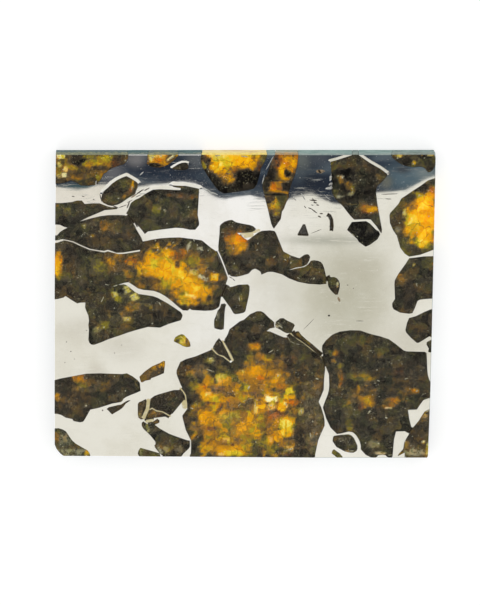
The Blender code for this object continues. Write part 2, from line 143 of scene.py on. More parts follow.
class StainAndGlow(Enum):
    """What a patch inside the olivine looks like: its glow, its warmth and its paleness, each from 0 to 1. The glow
    is painted light: it brightens the stain where light would come through the crystal.
    """

    BLACK = (0.02, 0.40, 0.0)
    SMOKE = (0.15, 0.30, 0.0)
    SLATE = (0.18, 0.22, 0.0)
    PLUM = (0.17, 0.72, 0.0)
    MOSS = (0.27, 0.12, 0.0)
    OLIVE = (0.42, 0.14, 0.0)
    LIME = (0.66, 0.10, 0.0)
    UMBER = (0.27, 0.38, 0.0)
    BROWN = (0.42, 0.43, 0.0)
    OCHRE = (0.54, 0.34, 0.0)
    MAROON = (0.24, 0.98, 0.0)
    RUST = (0.45, 0.9, 0.0)
    MAUVE = (0.34, 0.7, 0.03)
    TAN = (0.58, 0.3, 0.04)
    ORANGE = (0.65, 0.74, 0.0)
    AMBER = (0.65, 0.44, 0.0)
    GOLD = (0.71, 0.34, 0.0)
    BLAZE = (0.8, 0.58, 0.0)
    YELLOW = (0.82, 0.27, 0.0)
    CELERY = (0.68, 0.04, 0.2)
    TAUPE = (0.32, 0.40, 0.14)
    FROST = (0.40, 0.15, 0.40)
    ASH = (0.42, 0.50, 0.36)
    STRAW = (0.84, 0.10, 0.25)
    PALE = (0.92, 0.06, 0.75)


class Side(Enum):
    """How a crystal looks where the slice is sawn through it. Its teal tones are painted reflection of the shadowed
    floor beside the slice, and the warm tones of BRIGHT and ORANGE are painted light coming through the amber
    crystals.
    """

    DULL = "dull"
    BRIGHT = "bright"
    ORANGE = "orange"
    TEAL = "teal"


@dataclass
class Patch:
    """One stained or glowing patch inside a crystal: an ellipse in photo pixels, with a ragged, soft edge."""

    x: float
    y: float
    across: float
    down: float
    stain_and_glow: StainAndGlow
    strength: float = 1.0
    turn: float = 0.0

    FURTHEST = 2.4
    EDGE = 1.25
    SOFTNESS = 0.6

    def __post_init__(self) -> None:
        """Works out what every place needs."""
        self.centre = PHOTO.point(self.x, self.y)
        self.cosine, self.sine = math.cos(self.turn), math.sin(self.turn)
        self.value = Vector(self.stain_and_glow.value)

    def weight(self, place: Vector, ragged: Vector) -> float:
        """How strongly the patch shows at a place.

        Args:
            place: The point on the slice.
            ragged: How far the edge wanders there, in parts of the patch's size.

        Returns:
            A share from 0 to 1.
        """
        away_x, away_y = (place.x - self.centre.x) / PIXEL, (place.y - self.centre.y) / PIXEL
        along = (away_x * self.cosine + away_y * self.sine) / self.across
        over = (away_y * self.cosine - away_x * self.sine) * math.cos(PHOTO.tilt) / self.down
        if max(abs(along), abs(over)) > self.FURTHEST:
            return 0.0
        near = clamped(self.nearness(along, over, ragged))
        return self.strength * near * near * (3 - 2 * near)

    def nearness(self, along: float, over: float, ragged: Vector) -> float:
        """1 or more well inside the patch, 0 or less outside."""
        return (self.EDGE - math.hypot(along + ragged.x, over + ragged.y)) / self.SOFTNESS


class Block(Patch):
    """A patch with straight sides and crisp edges, as the flat face of a fracture shows."""

    EDGE = 1.12
    SOFTNESS = 0.26
    RAGGED = 0.3

    def nearness(self, along: float, over: float, ragged: Vector) -> float:
        """1 or more well inside the block, 0 or less outside."""
        away = max(abs(along + self.RAGGED * ragged.x), abs(over + self.RAGGED * ragged.y))
        return (self.EDGE - away) / self.SOFTNESS


def linear(colour: Colour) -> tuple[float, float, float, float]:
    """The render's own value of a screen colour that is given from 0 to 255."""
    values = [channel / 255 for channel in colour]
    bent = [v / 12.92 if v <= 0.04045 else ((v + 0.055) / 1.055) ** 2.4 for v in values]
    return (bent[0], bent[1], bent[2], 1.0)


@dataclass
class NodeKit:
    """Adds nodes to a tree and links them."""

    tree: bpy.types.NodeTree

    def add(self, kind: str, **settings: object) -> bpy.types.Node:
        """Adds one node.

        Args:
            kind: The node's type name.
            settings: Its properties.

        Returns:
            The new node.
        """
        node = self.tree.nodes.new(kind)
        for name, value in settings.items():
            setattr(node, name, value)
        return node

    def feed(self, value: object, socket: Socket) -> None:
        """Links the value to the socket, or sets it if it is a number or a colour."""
        if isinstance(value, Socket):
            self.tree.links.new(value, socket)
        else:
            socket.default_value = value

    def math(self, operation: str, *values: object, clamp: bool = False) -> Socket:
        """Adds a Math node.

        Args:
            operation: What it works out.
            values: Sockets or numbers.
            clamp: Whether the result stays from 0 to 1.

        Returns:
            The result.
        """
        node = self.add("ShaderNodeMath", operation=operation, use_clamp=clamp)
        for socket, value in zip(node.inputs, values):
            self.feed(value, socket)
        return node.outputs[0]

    def offset(self, value: object, weight: float) -> Socket:
        """The value less a half, times a weight."""
        return self.math("MULTIPLY", self.math("SUBTRACT", value, 0.5), weight)

    def total(self, *values: object) -> Socket:
        """Adds the values up."""
        result = values[0]
        for value in values[1:]:
            result = self.math("ADD", result, value)
        return result

    def band(
        self, value: object, low: float, high: float, first: float = 0.0, last: float = 1.0,
    ) -> Socket:
        """Maps a value smoothly.

        Args:
            value: The value.
            low: The value that gives first.
            high: The value that gives last.
            first: The result at low.
            last: The result at high.

        Returns:
            The mapped value.
        """
        node = self.add("ShaderNodeMapRange", interpolation_type="SMOOTHSTEP")
        for socket, number in zip(node.inputs, (value, low, high, first, last)):
            self.feed(number, socket)
        return node.outputs[0]

    def mix(self, factor: object, first: object, second: object) -> Socket:
        """Mixes two colours.

        Args:
            factor: How much of the second there is.
            first: The colour at 0.
            second: The colour at 1.

        Returns:
            The mixed colour.
        """
        node = self.add("ShaderNodeMix", data_type="RGBA")
        for socket, value in zip((node.inputs[0], node.inputs[6], node.inputs[7]), (factor, first, second)):
            self.feed(value, socket)
        return node.outputs[2]

    def ramp(self, factor: object, stops: Iterable[tuple[float, Colour]]) -> Socket:
        """Adds a colour ramp.

        Args:
            factor: What drives it.
            stops: Places from 0 to 1, each with its screen colour from 0 to 255.

        Returns:
            The ramp's colour.
        """
        node = self.add("ShaderNodeValToRGB")
        stops = list(stops)
        while len(node.color_ramp.elements) < len(stops):
            node.color_ramp.elements.new(0.5)
        for element, (place, colour) in zip(node.color_ramp.elements, stops):
            element.position = place
            element.color = linear(colour)
        self.feed(factor, node.inputs[0])
        return node.outputs[0]

    def place(self, stretch: tuple[float, float, float] = (1.0, 1.0, 1.0)) -> Socket:
        """The point on the object, stretched along its axes."""
        node = self.add("ShaderNodeMapping")
        self.feed(self.add("ShaderNodeTexCoord").outputs["Object"], node.inputs["Vector"])
        node.inputs["Scale"].default_value = stretch
        return node.outputs[0]

    def cloud(self, place: Socket, size: float, detail: float = 4.0) -> Socket:
        """Cloudy noise from 0 to 1.

        Args:
            place: The coordinates.
            size: The size of its clouds.
            detail: How many finer layers it has.

        Returns:
            The noise.
        """
        node = self.add("ShaderNodeTexNoise")
        node.inputs["Scale"].default_value = 1 / size
        node.inputs["Detail"].default_value = detail
        node.inputs["Roughness"].default_value = 0.62
        self.feed(place, node.inputs["Vector"])
        return node.outputs["Fac"]

    def bend(self, place: Socket, size: float, reach: float) -> Socket:
        """Coordinates that wander.

        Args:
            place: The coordinates.
            size: The size of the bends.
            reach: How far they go.

        Returns:
            The bent coordinates.
        """
        wobble = self.add("ShaderNodeTexNoise")
        wobble.inputs["Scale"].default_value = 1 / size
        wobble.inputs["Detail"].default_value = 3.0
        self.feed(place, wobble.inputs["Vector"])
        shift = self.add("ShaderNodeVectorMath", operation="MULTIPLY_ADD")
        self.feed(wobble.outputs["Color"], shift.inputs[0])
        shift.inputs[1].default_value = (reach, reach, reach)
        self.feed(place, shift.inputs[2])
        return shift.outputs[0]

    def cells(self, place: Socket, size: float, shape: str = "EUCLIDEAN") -> list[Socket]:
        """Fills space with cells.

        Args:
            place: The coordinates.
            size: The cells' size.
            shape: How distance is measured, which makes cells round or square.

        Returns:
            Two values that are the same all over one cell, and the distance from its middle.
        """
        node = self.add("ShaderNodeTexVoronoi", distance=shape)
        node.inputs["Scale"].default_value = 1 / size
        self.feed(place, node.inputs["Vector"])
        parts = self.add("ShaderNodeSeparateColor")
        self.feed(node.outputs["Color"], parts.inputs[0])
        return [parts.outputs[0], parts.outputs[1], node.outputs["Distance"]]

    def seams(self, place: Socket, size: float) -> Socket:
        """The distance from the nearest border between cells, in parts of a cell."""
        node = self.add("ShaderNodeTexVoronoi", feature="DISTANCE_TO_EDGE")
        node.inputs["Scale"].default_value = 1 / size
        self.feed(place, node.inputs["Vector"])
        return node.outputs["Distance"]


def new_material(name: str) -> tuple[Material, NodeKit, bpy.types.Node]:
    """Makes a material with one Principled shader.

    Args:
        name: The material's name.

    Returns:
        The material, a kit for its nodes, and the shader.
    """
    material = bpy.data.materials.new(name)
    material.use_nodes = True
    return material, NodeKit(material.node_tree), material.node_tree.nodes["Principled BSDF"]


@dataclass(frozen=True)
class OlivineDepths:
    """The node group that turns a patch's glow, warmth and paleness into fractured, stained colour, with the glow
    painted in as brightness.
    """

    block_size: float = 1.15 * MM
    shard_size: float = 0.5 * MM
    streak_size: float = 0.5 * MM
    dust_size: float = 1.5 * MM
    grain_size: float = 0.2 * MM
    cloud_size: float = 2.4 * MM
    fracture_size: float = 3.0 * MM
    green: tuple = (
        (0.0, (14, 14, 11)), (0.14, (54, 54, 43)), (0.3, (84, 81, 44)), (0.46, (126, 116, 38)),
        (0.66, (176, 160, 36)), (0.82, (212, 194, 46)), (1.0, (240, 236, 160)),
    )
    amber: tuple = (
        (0.0, (14, 12, 10)), (0.14, (56, 50, 41)), (0.3, (94, 75, 43)), (0.46, (146, 106, 38)),
        (0.6, (182, 132, 24)), (0.72, (212, 156, 10)), (0.82, (232, 180, 16)), (0.92, (242, 206, 56)),
        (1.0, (252, 234, 140)),
    )
    red: tuple = (
        (0.0, (14, 11, 10)), (0.14, (56, 44, 38)), (0.3, (102, 66, 38)), (0.46, (156, 90, 32)),
        (0.62, (200, 114, 16)), (0.8, (232, 144, 14)), (1.0, (250, 192, 84)),
    )
    dusty: tuple = (
        (0.0, (14, 13, 12)), (0.14, (54, 51, 45)), (0.3, (84, 76, 62)), (0.5, (130, 110, 80)),
        (0.75, (182, 160, 116)), (1.0, (240, 232, 196)),
    )

    def build(self) -> bpy.types.NodeTree:
        """Makes the group, with a Stain colour in and a Color out."""
        tree = bpy.data.node_groups.new("olivine_depths", "ShaderNodeTree")
        tree.interface.new_socket("StainAndGlow", in_out="INPUT", socket_type="NodeSocketColor")
        tree.interface.new_socket("Color", in_out="OUTPUT", socket_type="NodeSocketColor")
        kit = NodeKit(tree)
        parts = kit.add("ShaderNodeSeparateColor")
        kit.feed(kit.add("NodeGroupInput").outputs["StainAndGlow"], parts.inputs[0])
        glow, warmth, pale = parts.outputs[:3]
        place = kit.place()
        bent = kit.bend(place, 0.9 * MM, 0.7 * MM)
        block, block_hue, _ = kit.cells(bent, self.block_size, "CHEBYCHEV")
        shard, shard_hue, _ = kit.cells(kit.bend(bent, 0.3 * MM, 0.2 * MM), self.shard_size, "MANHATTAN")
        streak = kit.cloud(kit.place((1.0, 0.45, 1.0)), self.streak_size, 4.0)
        grain = kit.cloud(place, self.grain_size, 3.0)
        cloud = kit.cloud(place, self.cloud_size, 2.0)
        uneven = kit.total(
            kit.offset(block, 1.05), kit.offset(shard, 0.8), kit.offset(streak, 0.8), kit.offset(grain, 0.5),
            kit.offset(cloud, 0.5),
        )
        reach = kit.math("MULTIPLY_ADD", glow, 0.24, 0.11)
        reach = kit.math("MULTIPLY", reach, kit.band(glow, 0.45, 0.8, 1.0, 0.55))
        level = kit.math("MULTIPLY_ADD", uneven, reach, glow)
        flecks = self.flecks(kit, place)
        level = kit.math("MULTIPLY_ADD", flecks, 0.1, level)
        fracture = kit.seams(kit.bend(place, 1.8 * MM, 2.2 * MM), self.fracture_size)
        level = kit.math("MULTIPLY", level, kit.band(fracture, 0.0, 0.025, 0.72, 1.0), clamp=True)
        hue = kit.total(
            warmth, kit.offset(block_hue, 0.32), kit.offset(shard_hue, 0.2), kit.offset(cloud, 0.8),
        )
        colour = kit.mix(kit.band(hue, 0.08, 0.46), kit.ramp(level, self.green), kit.ramp(level, self.amber))
        colour = kit.mix(kit.band(hue, 0.66, 1.02), colour, kit.ramp(level, self.red))
        drift = kit.band(kit.cloud(bent, self.dust_size, 3.0), 0.44, 0.62)
        dust = kit.math("MULTIPLY", drift, kit.band(level, 0.26, 0.52, 0.7, 0.0))
        colour = kit.mix(dust, colour, kit.ramp(level, self.dusty))
        flecked = kit.math("MULTIPLY", flecks, kit.band(level, 0.3, 0.7, 0.42, 0.1))
        colour = kit.mix(flecked, colour, linear((150, 144, 108)))
        whiten = kit.math("MULTIPLY", pale, kit.band(kit.total(shard, kit.offset(grain, 2.0)), 0.05, 0.6))
        colour = kit.mix(whiten, colour, linear((244, 246, 214)))
        colour = self.sparkle(kit, place, shard, colour)
        kit.feed(colour, kit.add("NodeGroupOutput").inputs["Color"])
        return tree

    def flecks(self, kit: NodeKit, place: Socket) -> Socket:
        """Scattered lighter specks, in drifts, which show most in the dark crystals."""
        speck = kit.band(kit.cloud(place, 0.28 * MM, 4.0), 0.54, 0.72)
        drift = kit.band(kit.cloud(place, 2.6 * MM, 2.0), 0.42, 0.62)
        return kit.math("MULTIPLY", speck, drift)

    def sparkle(self, kit: NodeKit, place: Socket, shard: object, colour: object) -> Socket:
        """Adds tiny bright points where a fracture catches the light.

        Args:
            place: The coordinates.
            shard: A value that differs from shard to shard.
            colour: The colour without them.

        Returns:
            The colour with them.
        """
        point = kit.band(kit.cloud(place, 0.17 * MM, 2.0), 0.64, 0.71)
        drift = kit.band(kit.cloud(place, 1.3 * MM, 2.0), 0.53, 0.62)
        share = kit.math("MULTIPLY", kit.math("MULTIPLY", point, drift), kit.band(shard, 0.1, 1.0, 0.15, 0.8))
        return kit.mix(share, colour, linear((238, 236, 206)))


@dataclass(frozen=True)
class FractureFinish:
    """The stained fractures inside a crystal: their own colour with painted glow in it, and an emission that paints
    in a little of the light that comes through.
    """

    depths: bpy.types.NodeTree
    glow_strength: float = 0.55
    roughness: float = 0.6

    def build(self) -> Material:
        """Makes the material."""
        material, kit, shader = new_material("stained_fractures_and_glow")
        stain_and_glow = kit.add("ShaderNodeAttribute", attribute_name="stain_and_glow")
        inside = kit.add("ShaderNodeGroup", node_tree=self.depths)
        kit.feed(stain_and_glow.outputs["Color"], inside.inputs["StainAndGlow"])
        kit.feed(inside.outputs["Color"], shader.inputs["Base Color"])
        # The emission is a painted glow, for light that would come through the crystal from behind.
        kit.feed(inside.outputs["Color"], shader.inputs["Emission Color"])
        shader.inputs["Emission Strength"].default_value = self.glow_strength
        shader.inputs["Roughness"].default_value = self.roughness
        shader.inputs["Specular IOR Level"].default_value = 0.1
        return material


@dataclass(frozen=True)
class ClearOlivine:
    """Polished see-through olivine: its refraction, and the colour that it takes on with depth."""

    slot: str
    absorbed: tuple[float, float, float]
    density: float = 300.0
    refraction: float = 1.67
    shine: float = 0.12
    roughness: float = 0.02

    def build(self) -> Material:
        """Makes the material."""
        material, kit, shader = new_material(f"clear_{self.slot}")
        shader.inputs["Base Color"].default_value = (1.0, 1.0, 1.0, 1.0)
        shader.inputs["Transmission Weight"].default_value = 1.0
        shader.inputs["IOR"].default_value = self.refraction
        shader.inputs["Specular Tint"].default_value = (self.shine, self.shine, self.shine, 1.0)
        shader.inputs["Roughness"].default_value = self.roughness
        fog = kit.add("ShaderNodeVolumeAbsorption")
        fog.inputs["Color"].default_value = (*self.absorbed, 1.0)
        fog.inputs["Density"].default_value = self.density
        kit.feed(fog.outputs[0], material.node_tree.nodes["Material Output"].inputs["Volume"])
        return material


@dataclass(frozen=True)
class SawnSide:
    """How the slice's sawn side looks: one pair of mottled colours low down, and one next to the polished face.
    Teal colours in them are painted reflection, and warm bright ones are painted light.
    """

    low: tuple[Colour, Colour]
    high: tuple[Colour, Colour]
    split: float = 0.55

    def colour(self, kit: NodeKit) -> Socket:
        """The side's colour.


        Returns:
            The colour.
        """
        long_cloud = kit.band(kit.cloud(kit.place((1.0, 1.0, 2.5)), 2.4 * MM), 0.36, 0.62)
        fine_cloud = kit.band(kit.cloud(kit.place(), 0.5 * MM), 0.36, 0.64)
        parts = kit.add("ShaderNodeSeparateXYZ")
        kit.feed(kit.place(), parts.inputs[0])
        height = kit.math("ADD", kit.math("DIVIDE", parts.outputs["Z"], CAD_BOX[1].z), kit.offset(fine_cloud, 0.25))
        low = kit.mix(long_cloud, *(linear(tone) for tone in self.low))
        high = kit.mix(fine_cloud, *(linear(tone) for tone in self.high))
        return kit.mix(kit.band(height, self.split - 0.12, self.split + 0.12), low, high)


@dataclass(frozen=True)
class SawnOlivine:
    """Olivine on the slice's sawn sides: satin, and partly see-through."""

    name: str
    side: SawnSide
    clearness: float = 0.1

    def build(self) -> Material:
        """Makes the material."""
        material, kit, shader = new_material(self.name)
        kit.feed(self.side.colour(kit), shader.inputs["Base Color"])
        shader.inputs["Transmission Weight"].default_value = self.clearness
        shader.inputs["IOR"].default_value = 1.5
        shader.inputs["Specular IOR Level"].default_value = 0.05
        kit.feed(kit.band(kit.cloud(kit.place(), 0.4 * MM), 0.3, 0.7, 0.3, 0.5), shader.inputs["Roughness"])
        return material


@dataclass(frozen=True)
class PolishMarks:
    """The node group for what polishing leaves on metal: hairline scratches and specks of dust."""

    def build(self) -> bpy.types.NodeTree:
        """Makes the group, with a Mask out that is 1 in a scratch or on a speck."""
        tree = bpy.data.node_groups.new("polish_marks", "ShaderNodeTree")
        tree.interface.new_socket("Mask", in_out="OUTPUT", socket_type="NodeSocketFloat")
        kit = NodeKit(tree)
        lines = kit.band(kit.cloud(kit.place((0.06, 1.0, 1.0)), 0.16 * MM, 3.0), 0.5, 0.72)
        fewer = kit.band(kit.cloud(kit.place((0.4, 1.0, 1.0)), 1.4 * MM, 3.0), 0.4, 0.66)
        lines = kit.math("MULTIPLY", lines, fewer)
        speck = kit.band(kit.cloud(kit.place(), 0.16 * MM, 2.0), 0.69, 0.74)
        mask = kit.math("MAXIMUM", kit.math("MULTIPLY", lines, 0.6), speck, clamp=True)
        kit.feed(mask, kit.add("NodeGroupOutput").inputs["Mask"])
        return tree


@dataclass(frozen=True)
class MetalFinish:
    """Mirror-polished nickel-iron with cream phosphide veins."""

    marks: bpy.types.NodeTree
    silver: tuple = (249, 248, 245)
    worn_silver: tuple = (240, 238, 232)
    cream: tuple = (212, 200, 160)
    tarnished: tuple = (62, 55, 44)
    roughness: float = 0.04

    def build(self) -> Material:
        """Makes the material."""
        material, kit, shader = new_material("polished_nickel_iron")
        smudge = kit.cloud(kit.place(), 5 * MM)
        face = kit.mix(kit.band(smudge, 0.35, 0.7), linear(self.silver), linear(self.worn_silver))
        state = kit.add("ShaderNodeSeparateColor")
        kit.feed(kit.add("ShaderNodeAttribute", attribute_name="tarnish").outputs["Color"], state.inputs[0])
        patchy = kit.band(kit.cloud(kit.place(), 0.5 * MM), 0.3, 0.5, 0.6, 1.0)
        cream = kit.math("MULTIPLY", state.outputs[0], patchy)
        face = kit.mix(cream, face, linear(self.cream))
        face = kit.mix(state.outputs[1], face, linear(self.tarnished))
        kit.feed(face, shader.inputs["Base Color"])
        shader.inputs["Metallic"].default_value = 1.0
        marks = kit.add("ShaderNodeGroup", node_tree=self.marks).outputs["Mask"]
        rough = kit.band(smudge, 0.3, 0.7, self.roughness, self.roughness + 0.02)
        kit.feed(kit.total(rough, kit.math("MULTIPLY", marks, 0.4)), shader.inputs["Roughness"])
        return material


@dataclass(frozen=True)
class SawnMetal:
    """Nickel-iron where it is sawn: dull, with cold teal tones that are painted reflection of the shadowed floor,
    and darker towards the left as the camera sees it.
    """

    left: SawnSide = SawnSide(((38, 76, 78), (74, 106, 104)), ((66, 86, 84), (138, 142, 126)), 0.62)
    right: SawnSide = SawnSide(((112, 138, 132), (136, 160, 154)), ((120, 138, 134), (148, 160, 154)), 0.7)
    metallic: float = 0.2

    def build(self) -> Material:
        """Makes the material."""
        material, kit, shader = new_material("sawn_nickel_iron")
        parts = kit.add("ShaderNodeSeparateXYZ")
        kit.feed(kit.place(), parts.inputs[0])
        right = kit.band(parts.outputs["X"], PHOTO.point(215, 300).x, PHOTO.point(275, 300).x)
        kit.feed(kit.mix(right, self.left.colour(kit), self.right.colour(kit)), shader.inputs["Base Color"])
        shader.inputs["Metallic"].default_value = self.metallic
        shader.inputs["Specular IOR Level"].default_value = 0.05
        shader.inputs["Roughness"].default_value = 0.5
        return material


@dataclass(frozen=True)
class MottledFinish:
    """A dull opaque finish of two mottled colours, for dark specks, pits and stains."""

    name: str
    dark: Colour
    light: Colour
    size: float = 0.3 * MM
    roughness: float = 0.5
    metallic: float = 0.0

    def build(self) -> Material:
        """Makes the material."""
        material, kit, shader = new_material(self.name)
        blend = kit.band(kit.cloud(kit.place(), self.size), 0.35, 0.65)
        kit.feed(kit.mix(blend, linear(self.dark), linear(self.light)), shader.inputs["Base Color"])
        shader.inputs["Roughness"].default_value = self.roughness
        shader.inputs["Metallic"].default_value = self.metallic
        return material


def node_shape(node: str) -> Shape:
    """A copy of a CAD node's shape, its loose triangles merged and its flat faces made whole.

    Args:
        node: The node's name.

    Returns:
        The shape, which the caller frees.
    """
    shape = bmesh.new()
    shape.from_mesh(frame["nodes"][node].data)
    bmesh.ops.remove_doubles(shape, verts=shape.verts, dist=0.002 * MM)
    bmesh.ops.dissolve_limit(shape, angle_limit=math.radians(0.5), verts=shape.verts, edges=shape.edges)
    return shape


def on_cut_side(point: Vector, reach: float = 0.02 * MM) -> bool:
    """Whether a point lies on the slice's own sawn side, and not on a wall between crystal and metal.

    Args:
        point: The point.
        reach: How far from the side still counts.

    Returns:
        Whether it lies there.
    """
    flat = flattened(point)
    corners = [flattened(PHOTO.point(*pixel)) for pixel in CUT_SIDES]
    for start, end in zip(corners, corners[1:] + corners[:1]):
        nearest, share = intersect_point_line(flat, start, end)
        if -0.01 <= share <= 1.01 and (nearest - flat).length < reach:
            return True
    return False


def ease_cut_edges(shape: Shape, width: float = 0.05 * MM) -> None:
    """Bevels the edge between the polished face and the sawn sides, as a grinder takes it off.

    Args:
        shape: The shape.
        width: How wide the bevel is.
    """
    top = CAD_BOX[1].z
    edges = [
        edge for edge in shape.edges
        if len(edge.link_faces) == 2
        and all(vert.co.z > top - FACE_REACH for vert in edge.verts)
        and min(abs(face.normal.z) for face in edge.link_faces) < WALL_RISE
        and on_cut_side((edge.verts[0].co + edge.verts[1].co) / 2)
    ]
    bmesh.ops.bevel(
        shape, geom=edges, offset=width, offset_type="OFFSET", segments=1, profile=0.5, affect="EDGES", material=-1,
    )


def net(shape: Shape, faces: list[Face], axis: int, places: list[float]) -> list[Face]:
    """Cuts faces across one axis, halving the work at each cut.

    Args:
        shape: The shape that the faces are in.
        faces: The faces.
        axis: 0 to cut across X, 1 to cut across Y.
        places: Where to cut, in rising order.

    Returns:
        All of the faces after cutting.
    """
    if not places or not faces:
        return faces
    half = len(places) // 2
    place = places[half]
    crossing = [
        face for face in faces
        if min(vert.co[axis] for vert in face.verts) < place < max(vert.co[axis] for vert in face.verts)
    ]
    apart = set(faces) - set(crossing)
    geometry = {
        *crossing, *(edge for face in crossing for edge in face.edges),
        *(vert for face in crossing for vert in face.verts),
    }
    normal = Vector((1.0, 0.0, 0.0)) if axis == 0 else Vector((0.0, 1.0, 0.0))
    cut = bmesh.ops.bisect_plane(
        shape, geom=list(geometry), dist=0.003 * MM, plane_co=normal * place, plane_no=normal,
    )
    apart.update(item for item in cut["geom"] if isinstance(item, Face))
    low = [face for face in apart if face.calc_center_bounds()[axis] < place]
    high = [face for face in apart if face.calc_center_bounds()[axis] >= place]
    return net(shape, low, axis, places[:half]) + net(shape, high, axis, places[half + 1:])


def net_faces(shape: Shape, faces: list[Face], pitch: float, low: Vector, high: Vector) -> None:
    """Cuts faces into a square net within a rectangle.

    Args:
        shape: The shape that the faces are in.
        faces: The faces.
        pitch: The distance between cuts.
        low: The rectangle's lowest corner.
        high: The rectangle's highest corner.
    """
    for axis in (0, 1):
        steps = range(math.ceil(low[axis] / pitch), math.floor(high[axis] / pitch) + 1)
        faces = net(shape, faces, axis, [step * pitch for step in steps])


def top_faces(shape: Shape) -> list[Face]:
    """The faces of the polished side."""
    return [face for face in shape.faces if face.normal.z > LEVEL_RISE]


def place_shape(name: str, shape: Shape, materials: list[Material]) -> bpy.types.Object:
    """Puts a shape into the scene as an object.

    Args:
        name: The object's name.
        shape: The shape, which is freed.
        materials: The object's materials.

    Returns:
        The new object.
    """
    mesh = bpy.data.meshes.new(name)
    shape.to_mesh(mesh)
    shape.free()
    for material in materials:
        mesh.materials.append(material)
    piece = bpy.data.objects.new(name, mesh)
    bpy.context.scene.collection.objects.link(piece)
    return piece


def make_piece(name: str, shape: Shape, materials: list[Material]) -> bpy.types.Object:
    """Turns a shape into a piece that rides on the slice.

    Args:
        name: The piece's name.
        shape: The shape, which is freed.
        materials: The piece's materials.

    Returns:
        The new object.
    """
    piece = place_shape(name, shape, materials)
    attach(piece, "root")
    LOG.info("%s: %d faces", name, len(piece.data.polygons))
    return piece


@dataclass
class Olivine:
    """One olivine crystal: its clear polished body, and the stained fractures inside it, which carry a painted
    glow.
    """

    node: str
    base: StainAndGlow
    patches: list[Patch] = field(default_factory=list)
    side: Side = Side.DULL
    pitch: float = 0.18 * MM
    skin: float = 0.07 * MM
    side_skin: float = 0.015 * MM
    crumple: float = 0.3 * MM

    def build(self, finishes: "OlivineFinishes") -> None:
        """Builds both pieces."""
        self.build_body(finishes)
        self.build_fractures(finishes)

    def build_body(self, finishes: "OlivineFinishes") -> None:
        """The clear body, with satin faces where the slice is sawn."""
        shape = node_shape(self.node)
        ease_cut_edges(shape)
        for face in shape.faces:
            if abs(face.normal.z) < WALL_RISE and on_cut_side(face.calc_center_median()):
                face.material_index = 1
        slot = SLOTS[self.node]
        body = make_piece(f"{self.node}_clear", shape, [finishes.clear[slot], finishes.sawn[self.side]])
        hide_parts(self.node)

    def build_fractures(self, finishes: "OlivineFinishes") -> None:
        """The crumpled, stained surface with its painted glow, which shows through the clear body."""
        shape = node_shape(self.node)
        low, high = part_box(self.node)
        net_faces(shape, top_faces(shape), self.pitch, low, high)
        bmesh.ops.triangulate(shape, faces=shape.faces, quad_method="BEAUTY", ngon_method="BEAUTY")
        self.draw_in(shape)
        self.crumple_top(shape)
        layer = shape.verts.layers.float_color.new("stain_and_glow")
        for vert in shape.verts:
            vert[layer] = self.stain_and_glow_at(vert.co)
        make_piece(f"{self.node}_fractures", shape, [finishes.fractures])

    def draw_in(self, shape: Shape) -> None:
        """Moves every point in from the crystal's skin, and less at its sides than at its faces."""
        shape.normal_update()
        for vert, normal in [(vert, vert.normal.copy()) for vert in shape.verts]:
            vert.co -= Vector((normal.x * self.side_skin, normal.y * self.side_skin, normal.z * self.skin))

    def crumple_top(self, shape: Shape) -> None:
        """Crumples the upper surface like a broken one."""
        for vert in shape.verts:
            if vert.co.z > CAD_BOX[1].z - 0.2 * MM:
                place = flattened(vert.co) / (0.9 * MM)
                fold = noise.noise(place) + 0.5 * noise.noise(place * 2.6)
                vert.co.z -= self.crumple * clamped(0.45 + 0.6 * fold)

    def stain_and_glow_at(self, place: Vector) -> tuple[float, float, float, float]:
        """The stain and painted glow at one place: the crystal's base, and over it every patch that reaches there.
        """
        flat = flattened(place)
        bent = flat + noise.noise_vector(flat / (1.6 * MM)) * 0.6 * MM
        block = noise.cell_vector(bent / (0.62 * MM)) - Vector((0.5, 0.5, 0.5))
        coarse = noise.noise_vector(flat / (1.0 * MM)) * 0.35
        ragged = coarse + noise.noise_vector(flat / (0.35 * MM)) * 0.14 + block * 0.35
        value = Vector(self.base.value)
        for patch in self.patches:
            share = patch.weight(flat, ragged)
            if share > 0:
                value = value.lerp(patch.value, share)
        return (*value, 1.0)


@dataclass
class OlivineFinishes:
    """Every finish that a crystal takes, made once."""

    fractures: Material
    clear: dict[str, Material]
    sawn: dict[Side, Material]

    @classmethod
    def build(cls) -> "OlivineFinishes":
        """Makes the finishes."""
        tints = {
            "olivine_amber": (1.0, 0.8, 0.4),
            "olivine_green": (0.85, 0.9, 0.5),
            "olivine_brown": (0.95, 0.75, 0.45),
            "olivine_dark": (0.8, 0.78, 0.62),
        }
        # Teal tones are painted reflection of the shadowed floor; the warm tones of BRIGHT and ORANGE are painted
        # light coming through amber olivine.
        looks = {
            Side.DULL: SawnSide(((40, 78, 84), (84, 104, 92)), ((84, 92, 64), (136, 138, 96)), 0.5),
            Side.BRIGHT: SawnSide(((214, 186, 128), (236, 218, 150)), ((228, 196, 84), (244, 226, 122))),
            Side.ORANGE: SawnSide(((128, 138, 116), (172, 168, 142)), ((148, 122, 84), (186, 146, 78))),
            Side.TEAL: SawnSide(((92, 112, 106), (126, 150, 143)), ((108, 120, 112), (134, 148, 136))),
        }
        return cls(
            FractureFinish(OlivineDepths().build()).build(),
            {slot: ClearOlivine(slot, tint).build() for slot, tint in tints.items()},
            {side: SawnOlivine(f"sawn_olivine_{side.value}", look).build() for side, look in looks.items()},
        )


@dataclass(frozen=True)
class WornRim:
    """The metal next to one crystal, polished down on the side towards the photo's top.

    box is the part of the face that is looked at, as left, top, right and bottom in photo pixels.
    """

    node: str
    box: tuple[float, float, float, float]
    width: float = 0.42 * MM
    drop: float = 0.052 * MM

    @property
    def corners(self) -> tuple[Vector, Vector]:
        """The box's lowest and highest corner on the polished face."""
        left, top, right, bottom = self.box
        return PHOTO.point(left, bottom), PHOTO.point(right, top)


